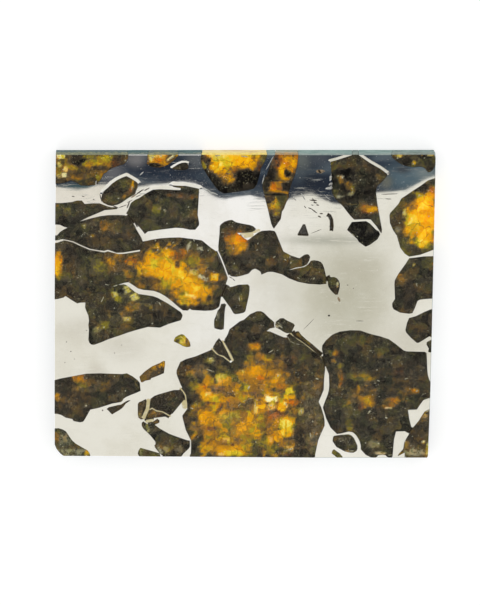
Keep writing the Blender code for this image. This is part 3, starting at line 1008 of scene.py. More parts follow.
RIMS = [
    WornRim("crystal_pentagon", (98, 167, 146, 193)),
    WornRim("crystal_tiny_drop", (160, 153, 190, 172), 0.3 * MM, 0.03 * MM),
    WornRim("crystal_grey_green", (138, 179, 208, 194), 0.5 * MM, 0.04 * MM),
    WornRim("crystal_tall", (324, 153, 392, 192), 0.4 * MM, 0.06 * MM),
]


@dataclass
class Vein:
    """A vein of metal between crystals: bright along its middle, and dark with tarnish out to its skirt.

    points are photo pixels along its middle, and core and skirt are half-widths in pixels.
    """

    points: tuple[tuple[float, float], ...]
    core: float
    skirt: float = 0.0
    cream: bool = False
    spread: float = 0.35

    def __post_init__(self) -> None:
        """Works out the vein's straight runs, and the rectangle that it has an effect in."""
        flat = [flattened(PHOTO.point(*pixel)) for pixel in self.points]
        self.lines = list(zip(flat, flat[1:]))
        reach = Vector((1.0, 1.0, 0.0)) * (max(self.core, self.skirt) + 1.0) * PIXEL
        self.low = Vector((min(place.x for place in flat), min(place.y for place in flat), 0.0)) - reach
        self.high = Vector((max(place.x for place in flat), max(place.y for place in flat), 0.0)) + reach

    def shares(self, place: Vector) -> tuple[float, float, float]:
        """How far a place is bright core, cream and tarnished skirt, each from 0 to 1."""
        flat = flattened(place)
        distance, past = min(self.distance(flat, *line) for line in self.lines)
        core = min(1.0, max(0.0, self.core + self.spread - distance) / 0.6) if self.core > 0 else 0.0
        cream = clamped(self.core + 1.0 - distance) if self.cream else 0.0
        skirt = min(1.0, max(0.0, self.skirt + 0.5 - distance) / 0.5) if self.skirt > 0 and not past else 0.0
        return core, cream, skirt

    def distance(self, flat: Vector, start: Vector, end: Vector) -> tuple[float, bool]:
        """How far a place is from one straight run in pixels, and whether it lies past the vein's own end."""
        nearest, along = intersect_point_line(flat, start, end)
        past = (along < 0 and start == self.lines[0][0]) or (along > 1 and end == self.lines[-1][1])
        nearest = start if along < 0 else end if along > 1 else nearest
        return (nearest - flat).length / PIXEL, past


VEINS = [
    Vein(((55.5, 241), (62, 239.8)), 1.5),
    Vein(((60, 240.5), (64.6, 240), (73.2, 241.9), (80.8, 245.6), (90, 249.4), (101, 251.2)), 0.45, 2.6),
    Vein(((101, 251.2), (104.6, 251.7), (108, 250.5), (116.2, 253.6), (123.8, 253.3), (140.3, 250.6)), 0.7, 2.6),
    Vein(((217.6, 250.6), (220.8, 257.6), (224.4, 266.6), (227.6, 275.4)), 0.55, 3.8),
    Vein(((227.4, 285), (223.6, 291), (222.3, 297)), 0.0, 2.6),
    Vein(((128, 214.8), (134.3, 223.7)), 0.0, 2.2),
    Vein(((140.8, 249.6), (141.6, 246), (142.8, 241.4)), 0.0, 1.5),
    Vein(((327, 214.5), (329.5, 216), (331.3, 220), (331.8, 226), (331.2, 231)), 0.0, 1.6),
    Vein(((134.3, 223.7), (136.6, 227.6)), 0.5, 1.7),
    Vein(((242, 234.2), (250, 232.6), (258.6, 230.6)), 1.1, 0.0, True),
    Vein(((245.5, 236), (251.5, 235)), 1.7, 0.0, True),
    Vein(((239, 235.4), (241.5, 238), (244, 240.6)), 0.0, 1.4),
    Vein(((304, 224.6), (307.4, 235), (298.6, 234.6), (304, 224.6)), 0.0, 0.9),
    Vein(((288, 270.6), (296.4, 268), (304.5, 266.3), (308.5, 263.4)), 0.5, 2.0),
    Vein(((325.5, 279.5), (330.5, 277)), 0.0, 2.2),
    Vein(((148.2, 401), (147.4, 409), (143.6, 417.4)), 1.7, 5.0, True),
    Vein(((149.8, 409.6), (152, 408.4), (156, 411), (162, 412), (166.2, 414.2), (169.8, 416.2)), 0.5, 2.6, True),
    Vein(((147, 421.5), (152, 420.6)), 1.4, 3.0, True),
    Vein(((180.6, 388.8), (183.6, 392.6), (185.6, 396), (186, 401.5)), 0.6, 3.6, True),
    Vein(((184.2, 402.4), (184.9, 406.4)), 2.3, 0.0, True),
    Vein(((144.4, 419.8), (149, 419.4), (153.4, 418.4)), 0.0, 1.1),
    Vein(((212.3, 349), (217.8, 355), (223.5, 356.6), (229, 361.2)), 0.6, 2.6, True),
    Vein(((222.5, 342), (225, 346), (229.5, 354), (232.6, 359.6)), 1.2, 3.2, True),
    Vein(((290.3, 332.8), (294, 337.6), (300, 341), (309, 347.6), (315, 352.9), (320.3, 357)), 0.55, 4.6, True),
    Vein(((320.3, 357), (322.4, 361.8), (323.6, 367)), 0.7, 3.4, True),
    Vein(((411.5, 427), (408.8, 433.4)), 0.0, 3.0),
]


@dataclass
class Metal:
    """The nickel-iron matrix."""

    node: str = "nickel_iron_matrix"
    pitch: float = 0.5 * MM
    fine_pitch: float = 0.065 * MM
    foot: float = 0.037 * MM
    least_facing: float = 0.14

    def build(self, finish: Material, sawn: Material, contact: Material) -> None:
        """Builds the metal.

        Args:
            finish: The polished finish.
            sawn: The finish of the sawn sides, and of their eased edge towards the photo's right.
            contact: The finish of the walls that face the crystals.
        """
        shape = node_shape(self.node)
        self.close_pockets(shape)
        ease_cut_edges(shape)
        polished_until = PHOTO.point(205, 300).x
        for face in shape.faces:
            middle = face.calc_center_median()
            wall = abs(face.normal.z) < WALL_RISE
            eased = WALL_RISE < face.normal.z < LEVEL_RISE and middle.x > polished_until
            if (wall or eased) and on_cut_side(middle, 0.06 * MM):
                face.material_index = 1
            elif wall:
                face.material_index = 2
        net_faces(shape, top_faces(shape), self.pitch, *CAD_BOX)
        for rim in RIMS:
            self.refine(shape, *rim.corners)
        for vein in VEINS:
            self.refine(shape, vein.low, vein.high)
        bmesh.ops.triangulate(shape, faces=top_faces(shape), quad_method="BEAUTY", ngon_method="BEAUTY")
        layer = shape.verts.layers.float_color.new("tarnish")
        face = {vert for item in top_faces(shape) for vert in item.verts}
        for rim in RIMS:
            self.wear(face, rim)
        for vert in shape.verts:
            vert[layer] = (0.0, 0.0, 0.0, 1.0)
        self.tarnish(face, layer)
        body = make_piece("nickel_iron_body", shape, [finish, sawn, contact])
        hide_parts(self.node)

    def close_pockets(self, shape: Shape) -> None:
        """Leans every pocket's wall in at its foot, so that no light comes up round the crystal."""
        shape.normal_update()
        shifts: dict[Vertex, Vector] = {}
        for vert in shape.verts:
            if vert.co.z < 0.01 * MM and not on_cut_side(vert.co):
                walls = [face.normal for face in vert.link_faces if abs(face.normal.z) < WALL_RISE]
                if walls:
                    inward = sum(walls, Vector())
                    inward.z = 0.0
                    shifts[vert] = inward.normalized() * self.foot
        for vert, shift in shifts.items():
            vert.co += shift

    def refine(self, shape: Shape, low: Vector, high: Vector) -> None:
        """Cuts the face finely within a rectangle.

        Args:
            shape: The metal.
            low: The rectangle's lowest corner.
            high: The rectangle's highest corner.
        """
        near = [
            face for face in shape.faces
            if face.normal.z > LEVEL_RISE and all(
                min(vert.co[axis] for vert in face.verts) < high[axis]
                and max(vert.co[axis] for vert in face.verts) > low[axis]
                for axis in (0, 1)
            )
        ]
        net_faces(shape, near, self.fine_pitch, low, high)

    def wear(self, face: set[Vertex], rim: WornRim) -> None:
        """Slopes the face down to the crystal along one rim."""
        low, high = rim.corners
        outline = self.outline(rim.node)
        tree = KDTree(len(outline))
        for index, point in enumerate(outline):
            tree.insert(point, index)
        tree.balance()
        for vert in face:
            if not (low.x < vert.co.x < high.x and low.y < vert.co.y < high.y):
                continue
            nearest, _, distance = tree.find(Vector((*vert.co.xy, CAD_BOX[1].z)))
            downward = (vert.co.y - nearest.y) / max(distance, 0.001 * MM)
            facing = clamped((downward - self.least_facing) / 0.35)
            vert.co.z -= rim.drop * facing * max(0.0, 1.0 - distance / rim.width)

    def outline(self, node: str) -> list[Vector]:
        """Points along a crystal's edge on the polished face."""
        shape = node_shape(node)
        top = CAD_BOX[1].z
        points: list[Vector] = []
        for edge in shape.edges:
            if all(vert.co.z > top - FACE_REACH for vert in edge.verts):
                start, end = (vert.co for vert in edge.verts)
                steps = max(1, int((end - start).length / (0.03 * MM)))
                points.extend(start.lerp(end, step / steps) for step in range(steps + 1))
        shape.free()
        return points

    def tarnish(self, face: set[Vertex], layer: bmesh.types.BMLayerItem) -> None:
        """Keeps the metal's state as a colour: red for cream phosphide, green for dark tarnish.

        Args:
            face: The vertices of the polished face.
            layer: The colour layer.
        """
        states: dict[Vertex, tuple[float, float, float]] = {}
        for vein in VEINS:
            for vert in face:
                if vein.low.x < vert.co.x < vein.high.x and vein.low.y < vert.co.y < vein.high.y:
                    shares = zip(states.get(vert, (0.0, 0.0, 0.0)), vein.shares(vert.co))
                    states[vert] = tuple(max(pair) for pair in shares)
        for vert, (core, cream, skirt) in states.items():
            vert[layer] = (cream, skirt * (1.0 - core), 0.0, 1.0)


@dataclass(frozen=True)
class Mark:
    """One fine mark on the metal, from one photo pixel to another, thin at both ends."""

    start: tuple[float, float]
    end: tuple[float, float]
    width: float


def marks(*rows: tuple[float, float, float, float, float]) -> list[Mark]:
    """Makes marks, each from the photo pixel it starts at, the one it ends at, and its width."""
    return [Mark(row[:2], row[2:4], row[4]) for row in rows]


@dataclass
class SurfaceMarks:
    """Marks of one kind, on the polished metal or just under an olivine's polish, all in one piece."""

    name: str
    marks: list[Mark]
    lift: float = 0.004 * MM
    slot: str = "nickel_iron"
    corners: int = 14

    def build(self, finish: Material) -> None:
        """Builds the piece."""
        shape = bmesh.new()
        for index, mark in enumerate(self.marks):
            self.add(shape, mark, index)
        make_piece(self.name, shape, [finish])

    def add(self, shape: Shape, mark: Mark, index: int) -> None:
        """Adds one mark as a thin, uneven disc."""
        start, end = PHOTO.point(*mark.start), PHOTO.point(*mark.end)
        reach = end - start
        half_length = max(reach.length / 2, mark.width * PHOTO.pixel / 2)
        turn = math.atan2(reach.y, reach.x) if reach.length > 0 else 0.0
        disc = bmesh.ops.create_circle(shape, cap_ends=True, segments=self.corners, radius=1.0)["verts"]
        for vert in disc:
            vert.co *= 1.0 + 0.3 * noise.noise(vert.co * 1.7 + Vector((index * 3.1, 0.0, 0.0)))
        bmesh.ops.scale(shape, verts=disc, vec=(half_length, mark.width * PHOTO.pixel / 2, 1.0))
        bmesh.ops.rotate(shape, verts=disc, matrix=Matrix.Rotation(turn, 3, "Z"))
        middle = (start + end) / 2
        bmesh.ops.translate(shape, verts=disc, vec=(middle.x, middle.y, CAD_BOX[1].z + self.lift))


@dataclass
class Studio:
    """The white floor, the light that the metal mirrors, the dark shape over its top edge, and the camera."""

    distance: float = 1.5
    sensor: float = 36.0
    card_height: float = 0.025
    panel_height: float = 0.07
    floor_size: float = 3.0
    floor_tone: float = 0.45
    floor_glow: float = 0.62
    panel_size: float = 0.2

    def build(self) -> None:
        """Builds the whole studio."""
        self.build_world()
        self.build_floor()
        self.build_panel()
        self.build_card()
        self.build_camera()

    def build_world(self) -> None:
        """Even white light from all round."""
        world = bpy.data.worlds.new("studio_white")
        world.use_nodes = True
        back = world.node_tree.nodes["Background"]
        back.inputs["Color"].default_value = (1.0, 1.0, 1.0, 1.0)
        back.inputs["Strength"].default_value = 1.0
        bpy.context.scene.world = world
        bpy.context.scene.view_settings.view_transform = "Standard"

    def build_floor(self) -> None:
        """A plain white floor, lit so that it loses the slice's soft shadow as the photo's does."""
        material, _, shader = new_material("white_floor")
        shader.inputs["Base Color"].default_value = (self.floor_tone, self.floor_tone, self.floor_tone, 1.0)
        shader.inputs["Roughness"].default_value = 0.9
        shader.inputs["Specular IOR Level"].default_value = 0.0
        shader.inputs["Emission Color"].default_value = (1.0, 1.0, 1.0, 1.0)
        shader.inputs["Emission Strength"].default_value = self.floor_glow
        shape = bmesh.new()
        bmesh.ops.create_grid(shape, x_segments=1, y_segments=1, size=self.floor_size)
        bmesh.ops.translate(shape, verts=shape.verts, vec=(0, 0, -0.01 * MM))
        self.stage_piece("floor", shape, material)

    def glowing(self, name: str) -> tuple[Material, NodeKit, Socket]:
        """Makes a material that only gives off light.

        Args:
            name: The material's name.

        Returns:
            The material, a kit for its nodes, and the socket that takes its colour.
        """
        material = bpy.data.materials.new(name)
        material.use_nodes = True
        material.node_tree.nodes.clear()
        kit = NodeKit(material.node_tree)
        light = kit.add("ShaderNodeEmission")
        kit.feed(light.outputs[0], kit.add("ShaderNodeOutputMaterial").inputs["Surface"])
        return material, kit, light.inputs["Color"]

    def build_panel(self) -> None:
        """The large soft light over the slice, seen only in reflections, uneven as a real one is."""
        material, kit, socket = self.glowing("soft_panel")
        colour: object = linear((233, 231, 221))
        for pixel, radii, tone in (
            ((225, 205), (75, 75), (248, 247, 245)), ((75, 195), (60, 60), (228, 223, 212)),
            ((80, 325), (26, 15), (220, 217, 206)), ((125, 342), (24, 16), (219, 216, 205)),
            ((96, 367), (11, 9), (214, 210, 198)), ((276, 285), (24, 32), (221, 219, 209)),
            ((346, 290), (54, 66), (198, 196, 180)), ((358, 262), (24, 16), (196, 193, 177)),
            ((325, 455), (60, 60), (241, 239, 231)), ((225, 330), (55, 55), (239, 238, 233)),
            ((408, 334), (26, 22), (213, 210, 197)), ((326, 235.6), (50, 5), (176, 176, 164)),
        ):
            colour = self.soft_patch(kit, colour, self.mirrored(pixel, self.panel_height), radii, tone)
        kit.feed(colour, socket)
        shape = bmesh.new()
        bmesh.ops.create_grid(shape, x_segments=1, y_segments=1, size=self.panel_size)
        bmesh.ops.translate(shape, verts=shape.verts, vec=(0, 0, self.panel_height))
        self.only_in_reflections(self.stage_piece("soft_panel", shape, material))

    def soft_patch(
        self, kit: NodeKit, colour: object, centre: Vector, radii: tuple[float, float], tone: Colour,
    ) -> Socket:
        """Adds one soft oval patch to a colour.

        Args:
            colour: The colour so far.
            centre: The patch's middle.
            radii: Its reach across and down, in photo pixels.
            tone: Its screen colour.

        Returns:
            The colour with the patch.
        """
        away = kit.add("ShaderNodeVectorMath", operation="SUBTRACT")
        kit.feed(kit.place(), away.inputs[0])
        away.inputs[1].default_value = centre
        scaled = kit.add("ShaderNodeVectorMath", operation="MULTIPLY")
        kit.feed(away.outputs[0], scaled.inputs[0])
        scaled.inputs[1].default_value = (1 / (radii[0] * PHOTO.pixel), 1 / (radii[1] * PHOTO.pixel), 0.0)
        length = kit.add("ShaderNodeVectorMath", operation="LENGTH")
        kit.feed(scaled.outputs[0], length.inputs[0])
        return kit.mix(kit.band(length.outputs["Value"], 0.2, 1.5, 1.0, 0.0), colour, linear(tone))

    def mirrored(self, pixel: tuple[float, float], height: float) -> Vector:
        """Where a thing hangs so that the polished face mirrors it at one photo pixel.

        Args:
            pixel: The place in the photo.
            height: How far over the face the thing hangs.

        Returns:
            The point over the slice.
        """
        point = PHOTO.point(*pixel)
        eye = self.eye()
        rise = height / (eye.z - point.z)
        return Vector((point.x + (point.x - eye.x) * rise, point.y + (point.y - eye.y) * rise, point.z + height))

    def eye(self) -> Vector:
        """Where the camera is."""
        aim = PHOTO.point(PHOTO.frame_width / 2, PHOTO.frame_height / 2)
        return aim + Vector((0, math.sin(PHOTO.tilt), math.cos(PHOTO.tilt))) * self.distance

    def build_card(self) -> None:
        """The dark shape that the top of the face mirrors, its lower edge as the photo shows it."""
        edge = [
            (-40, 188), (56, 187), (78, 189.8), (88, 188.5), (98, 185), (118, 184.5), (134, 187.6),
            (143, 186.4), (151, 185), (165, 184), (180, 181.8), (195, 183.6), (204, 189), (212, 195.4),
            (218, 198), (226, 199), (236, 197), (250, 195.3), (262, 198.5), (272, 201), (286, 200.6),
            (296, 197), (304, 194.8), (312, 193.6), (318, 197), (324, 200), (334, 204), (350, 205),
            (376, 192.8), (392, 191.8), (405, 190.4), (414, 185.6), (426, 179), (435, 176), (520, 160),
        ]
        material, kit, socket = self.glowing("dark_card")
        tone = kit.ramp(
            kit.band(kit.cloud(kit.place((0.25, 1.0, 1.0)), 1.6 * MM, 5.0), 0.3, 0.75),
            ((0.0, (34, 41, 54)), (0.5, (47, 56, 69)), (1.0, (86, 97, 105))),
        )
        for pixel, radii, patch in (
            ((112, 172), (13, 13), (98, 99, 104)), ((136, 159), (11, 9), (118, 117, 119)),
            ((408, 178), (30, 16), (84, 102, 112)), ((80, 187), (26, 3), (58, 84, 90)),
            ((195, 160), (11, 10), (90, 94, 98)), ((302, 160), (10, 11), (98, 104, 104)),
            ((319, 158), (12, 8), (72, 78, 86)), ((314, 181), (16, 9), (34, 40, 52)),
            ((386, 182), (6, 7), (106, 108, 100)), ((425, 173), (12, 6), (112, 124, 126)),
            ((403, 170), (8, 4), (64, 68, 74)),
        ):
            tone = self.soft_patch(kit, tone, self.mirrored(pixel, self.card_height), radii, patch)
        kit.feed(tone, socket)
        shape = bmesh.new()
        points = [shape.verts.new(self.mirrored(pixel, self.card_height)) for pixel in edge]
        lines = [shape.edges.new(pair) for pair in zip(points, points[1:])]
        for item in bmesh.ops.extrude_edge_only(shape, edges=lines)["geom"]:
            if isinstance(item, Vertex):
                item.co.y = CAD_BOX[1].y + 0.03
        self.only_in_reflections(self.stage_piece("dark_card", shape, material))

    def only_in_reflections(self, piece: bpy.types.Object) -> None:
        """Lets a piece be seen in mirrors and nowhere else, and throw no shadow."""
        for way in ("camera", "diffuse", "transmission", "shadow", "volume_scatter"):
            setattr(piece, f"visible_{way}", False)

    def stage_piece(self, name: str, shape: Shape, material: Material) -> bpy.types.Object:
        """Makes one piece of the studio, which isn't part of the slice.

        Args:
            name: The piece's name.
            shape: The shape, which is freed.
            material: The piece's material.

        Returns:
            The new object.
        """
        piece = place_shape(name, shape, [material])
        return piece

    def build_camera(self) -> None:
        """A long lens that looks down on the slice as the photo does."""
        camera = bpy.data.cameras.new("camera")
        camera.sensor_width = self.sensor
        camera.lens = self.sensor * self.distance / (PHOTO.frame_height * PHOTO.pixel)
        camera.clip_end = 20.0
        holder = bpy.data.objects.new("camera", camera)
        holder.location = self.eye()
        holder.rotation_euler = (-PHOTO.tilt, 0.0, 0.0)
        bpy.context.scene.collection.objects.link(holder)
        bpy.context.scene.camera = holder


# Short names for the lists of patches.
P, B, S = Patch, Block, StainAndGlow

CRYSTALS = [
    Olivine("crystal_top_left", S.UMBER, [
        P(88, 180, 24, 8, S.UMBER), P(84, 178, 8, 5, S.OLIVE, 0.5), P(99, 175, 5, 4, S.OLIVE, 0.4),
        P(94, 160, 24, 8, S.OLIVE), P(92, 164, 10, 4, S.LIME, 0.8), P(109, 158.5, 6, 3, S.LIME, 0.8),
        P(77, 160, 8, 8, S.BLACK, 0.9), P(118, 164, 8, 7, S.MAROON, 0.9), P(100, 168, 9, 3, S.BLACK, 0.7),
        P(61, 169, 8, 11, S.OLIVE, 0.7), B(61.6, 156.8, 4, 3, S.PALE, 0.85), P(60, 165, 2.4, 2.6, S.STRAW, 0.8),
        P(66, 170, 2.4, 3.2, S.STRAW, 0.9), B(64.6, 175.8, 2.6, 2.2, S.PALE, 0.75),
        P(59, 177, 2, 2, S.CELERY, 0.8), P(73, 168, 5, 3, S.OLIVE), P(75, 179, 7, 3, S.OCHRE, 0.5),
    ]),
    Olivine("crystal_pentagon", S.SMOKE, [
        P(113, 199, 7, 4, S.MOSS), P(126, 185, 8, 6, S.MOSS, 0.7), P(127.5, 194, 7, 2.4, S.RUST, 0.9, 0.7),
        P(132.3, 186.5, 1.3, 4.6, S.AMBER, 0.7, -0.15), P(128, 177, 8, 2.5, S.BLACK, 0.8),
    ]),
    Olivine("crystal_left_band", S.SMOKE, [
        P(69, 210, 6, 6, S.MOSS), P(60, 206, 5, 4, S.OLIVE, 0.7), P(84.5, 226, 3, 3, S.OLIVE, 0.75),
        P(92, 236, 2.5, 2, S.OLIVE, 0.8), P(110, 228, 10, 7, S.UMBER), P(104, 226, 4, 4, S.RUST, 0.6),
        P(122, 228, 8, 8, S.UMBER, 0.5), P(96, 222, 5, 4, S.MOSS), P(126, 236, 8, 4, S.MAROON, 0.5),
        P(58, 214, 4, 8, S.MOSS, 0.7), P(84, 212, 10, 4, S.SLATE),
    ]),
    Olivine("crystal_grey_green", S.SLATE, [
        P(155, 211, 10, 6, S.MOSS), P(157, 211, 6, 4, S.OLIVE, 0.6), P(161, 209, 3, 1.4, S.TAUPE, 0.9),
        P(176, 194, 20, 4.5, S.BLACK, 0.8), P(182, 196, 15, 3, S.MAROON, 0.9, -0.1),
        P(176, 196.5, 9, 1.8, S.RUST, 0.4, -0.1), P(150, 192, 10, 4, S.BLACK, 0.7),
        P(195, 216, 3, 7, S.RUST, 0.35), P(165, 211, 2, 1.4, S.TAUPE, 0.8), P(146, 203, 6, 5, S.MOSS, 0.8),
        P(142, 213, 4, 8, S.BLACK, 0.6), P(185, 220, 10, 3, S.SMOKE),
    ]),
    Olivine("crystal_long_amber", S.SMOKE, [
        P(88, 266, 26, 16, S.MOSS, 0.45), P(110, 262, 16, 12, S.UMBER, 0.6), P(68, 262, 10, 16, S.PLUM, 0.7),
        P(172, 272, 42, 26, S.BROWN, 0.8), P(162, 266, 24, 19, S.GOLD), P(164, 267, 15, 13, S.YELLOW, 0.35),
        P(150, 256, 8, 6, S.ORANGE, 0.5), P(187, 285, 25, 14, S.AMBER, 1.0, -0.5),
        P(196, 288, 16, 10, S.GOLD, 1.0, -0.3), P(177, 254, 8, 7, S.RUST, 0.85),
        B(177, 264.5, 2.2, 3.4, S.MAROON, 0.85), B(181, 275, 3, 5, S.YELLOW, 0.7),
        P(194.5, 261, 6, 6.5, S.LIME, 0.7), P(211, 263, 7, 7.5, S.MOSS, 0.9), P(205, 250, 10, 4, S.SMOKE),
        B(193.5, 272.5, 4.5, 3, S.STRAW, 0.5), B(202.5, 277.5, 5.2, 1.7, S.FROST, 1.0, -0.55),
        B(214.5, 277.4, 4.2, 3.6, S.AMBER, 0.9), P(215, 276.6, 2, 2, S.STRAW, 0.4),
        B(213.5, 286.6, 5.5, 2, S.BROWN, 0.8), P(188, 300, 13, 6, S.GOLD, 0.85),
        B(190.5, 295.8, 6, 1.5, S.STRAW, 0.7, -0.35), P(207, 303, 8, 3, S.OLIVE, 0.7),
        P(165, 300, 7, 3, S.BROWN, 0.7), P(58, 264, 4.5, 14, S.ORANGE), P(58, 266, 2.5, 8, S.YELLOW, 0.6),
        P(65, 276, 7, 5, S.OLIVE, 0.6), P(112, 262, 5, 4.5, S.AMBER, 0.8), P(118, 252, 5, 8, S.BROWN, 0.9),
        P(118, 250, 3, 4, S.AMBER, 0.5), P(131, 262, 6, 6, S.RUST, 0.9), P(131, 263, 3, 2.5, S.AMBER, 0.7),
        P(99, 267, 7, 6, S.OLIVE, 0.55), P(126, 272, 6, 4, S.OLIVE, 0.5),
        P(189, 246, 1.6, 5, S.FROST, 0.9, -0.4), P(200, 249, 3, 2, S.FROST, 0.8), P(80, 250, 14, 6, S.SMOKE),
        P(108, 281, 22, 6, S.SMOKE, 0.9), P(150, 281, 10, 5, S.PLUM, 0.7), P(128, 276, 4, 3, S.OLIVE, 0.4),
    ]),
    Olivine("crystal_green_triangle", S.SMOKE, [
        P(128, 296, 18, 11, S.MOSS, 0.7), B(126.5, 290, 3.2, 3.6, S.CELERY, 0.9, 0.4),
        B(134.5, 297.5, 3.6, 3.6, S.CELERY, 0.95, 0.5), B(114.5, 294.5, 3, 2.6, S.CELERY, 0.8, 0.3),
        P(118, 299, 3.5, 3, S.OLIVE), P(122, 291, 4, 3, S.BLACK, 0.7), P(133, 307, 10, 5.5, S.BROWN),
        P(138, 308, 5, 4, S.OLIVE, 0.7), P(116, 320, 16, 7, S.OLIVE, 0.5), P(94, 321, 4, 4, S.UMBER),
        P(102, 327, 7, 3, S.OLIVE, 0.9), P(97, 330, 4, 3, S.CELERY, 0.5),
        B(127, 319, 3.6, 2, S.CELERY, 0.8, 0.2), P(146, 302, 4, 8, S.MOSS, 0.8),
        P(151, 309, 2, 4, S.OLIVE, 0.7), P(92, 313, 5, 6, S.MOSS, 0.8), P(160, 312, 12, 10, S.PLUM, 0.6),
        P(100, 303, 10, 8, S.SLATE), P(118, 327, 12, 3, S.UMBER, 0.6),
    ]),
    Olivine("crystal_centre_amber", S.SMOKE, [
        P(237, 243, 12, 13, S.RUST, 0.8), P(239, 244, 7.5, 8, S.ORANGE, 0.85), P(241, 248, 5, 5, S.AMBER, 0.45),
        P(230, 250, 4, 7, S.OLIVE, 0.6), P(229, 232, 6, 5, S.MAROON, 0.8), P(252, 258, 12, 9, S.SLATE),
        P(262, 243, 9, 7, S.SMOKE), P(271, 262, 6, 5, S.RUST, 0.6), P(284, 257, 7, 6, S.UMBER, 0.8),
        P(296, 264, 8, 6, S.MOSS, 0.6), P(313, 272, 10, 8, S.UMBER, 0.5), P(234, 268, 6, 4, S.MOSS, 0.7),
    ]),
    Olivine("crystal_drop", S.SMOKE, [P(333, 285, 3, 4, S.MOSS, 0.7), P(337, 285, 1, 3, S.PALE, 0.7)]),
    Olivine("crystal_small_wedge", S.SLATE, [
        P(236, 300, 9, 9, S.SMOKE, 0.8), P(241, 299, 1.8, 4, S.OLIVE, 0.5), P(235, 296, 4, 5, S.MOSS, 0.3),
        P(238, 308, 6, 3, S.BLACK, 0.6),
    ]),
    Olivine("crystal_small_post", S.SLATE, [P(218, 316, 2, 4, S.TAUPE, 0.6), P(219, 326, 3, 4, S.SMOKE)]),
    Olivine("crystal_yellow_seed", S.LIME, [
        P(179, 337, 5, 3, S.OLIVE, 0.8), P(183, 341, 5, 3, S.STRAW, 0.35), P(188, 344, 3, 3, S.OLIVE, 0.8),
        B(181, 337.4, 1.3, 1, S.STRAW, 0.6), B(177.4, 341, 2, 2, S.MOSS, 0.8),
        B(186.6, 340, 1.2, 1.6, S.UMBER, 0.8),
    ]),
    Olivine("crystal_lower_left", S.SMOKE, [
        P(78, 379, 8, 4, S.RUST, 0.85), P(90, 386, 18, 7, S.UMBER), P(86, 389, 7, 4, S.OLIVE, 0.5),
        P(100, 388, 7, 5, S.BROWN, 0.5), P(57, 398, 3, 5, S.AMBER, 0.75), P(62, 404, 8, 6, S.UMBER, 0.6),
        P(86, 406, 3, 2, S.TAUPE), P(113, 399, 5, 3.5, S.OLIVE, 0.7), P(126, 381, 14, 7, S.SLATE),
        P(72, 410, 14, 5, S.SMOKE), P(75, 396, 8, 5, S.PLUM, 0.7),
    ]),
    Olivine("crystal_splinter", S.UMBER, [P(156, 368, 6, 3, S.BROWN), P(162, 365, 3, 2.5, S.YELLOW, 0.6)]),
    Olivine("crystal_thin_sliver", S.SMOKE),
    Olivine("crystal_bottom_left", S.MOSS, [
        P(57, 437, 4, 7, S.RUST, 0.6), P(66, 440, 8, 8, S.TAUPE, 0.8), P(86, 454, 3, 3, S.YELLOW, 0.8),
        P(70, 453, 14, 4, S.FROST, 0.4), P(64, 447, 5, 4, S.SMOKE, 0.8), P(76, 446, 6, 4, S.MOSS, 0.9),
    ]),
    Olivine("crystal_cracked_left", S.UMBER, [
        P(146, 400, 4, 2.5, S.SMOKE, 0.8), B(140, 416, 2, 2.6, S.CELERY, 0.3), P(142, 406, 3, 4, S.PLUM, 0.4),
    ]),
    Olivine("crystal_cracked_main", S.SMOKE, [
        P(163, 398, 12, 6, S.PLUM, 0.4), P(181, 394, 4, 5, S.PLUM, 0.6), P(176, 398, 5, 5, S.SLATE),
    ]),
    Olivine("crystal_cracked_wedge", S.UMBER, [
        P(149, 416, 3, 2.5, S.BROWN, 0.5), P(153.5, 413.8, 2.4, 1.8, S.OCHRE, 0.6),
        P(158.6, 414.6, 1.8, 3, S.MAROON, 0.8), P(165, 415.4, 4.5, 2, S.SMOKE, 0.9),
    ]),
    Olivine("crystal_lower_lobe", S.SMOKE, [
        P(156, 421.6, 4, 3, S.MOSS, 0.5), P(143.4, 428, 2, 5, S.UMBER),
        B(147.4, 428.5, 1.6, 4.4, S.CELERY, 0.8, 0.25), P(158, 434, 8, 6, S.SLATE),
        P(150.4, 433, 2.6, 4, S.MOSS, 0.8), P(164, 447, 10, 7, S.UMBER, 0.8),
        B(159, 450, 1.3, 5, S.FROST, 0.6, 0.5), P(166, 449, 3, 3.4, S.TAUPE, 0.8),
        P(171, 451, 3, 3, S.OLIVE, 0.3), P(179, 450, 4, 4, S.TAUPE, 0.5), P(172, 439, 8, 6, S.SLATE, 0.8),
        P(156, 446.5, 2, 1.6, S.MAUVE, 0.8),
    ]),
    Olivine("crystal_bottom_sliver", S.MOSS, [P(142, 453, 4, 4, S.FROST, 0.3), P(148, 453, 7, 4, S.SLATE, 0.6)]),
    Olivine("crystal_great_amber", S.SMOKE, [
        P(243, 412, 54, 47, S.OCHRE), P(262, 376, 34, 22, S.BROWN), P(198, 371, 12, 7, S.TAN, 0.7),
        B(188, 372, 2.5, 6, S.OLIVE, 0.8), P(222, 379, 8, 6, S.TAN), P(219, 380, 4, 4, S.STRAW, 0.35),
        B(232, 381, 4, 7, S.OLIVE, 0.7), B(218, 390, 7, 4, S.MAUVE, 0.9), P(230, 396, 11, 5, S.BROWN),
        P(194, 386, 5, 5, S.BROWN, 0.8), P(200, 390, 7, 5, S.AMBER, 0.8),
        B(205.5, 383, 3.4, 8.5, S.ORANGE, 0.85, -0.45), P(209, 397, 9.5, 5, S.YELLOW, 0.8),
        B(208, 394.5, 3, 1.5, S.STRAW, 0.7), B(215, 399, 3, 3, S.LIME, 0.7),
        B(211, 403.6, 4, 1.2, S.MAROON, 0.95, -0.1), B(205, 406.5, 9, 1.1, S.RUST, 0.8, 0.4),
        B(208, 409, 4, 2.6, S.UMBER, 0.7), P(205, 418, 10, 6.5, S.ORANGE, 0.85),
        B(219, 410, 2, 7, S.MAROON, 0.8, -0.4), B(223.5, 411, 2.4, 8, S.ORANGE, 0.7, -0.65),
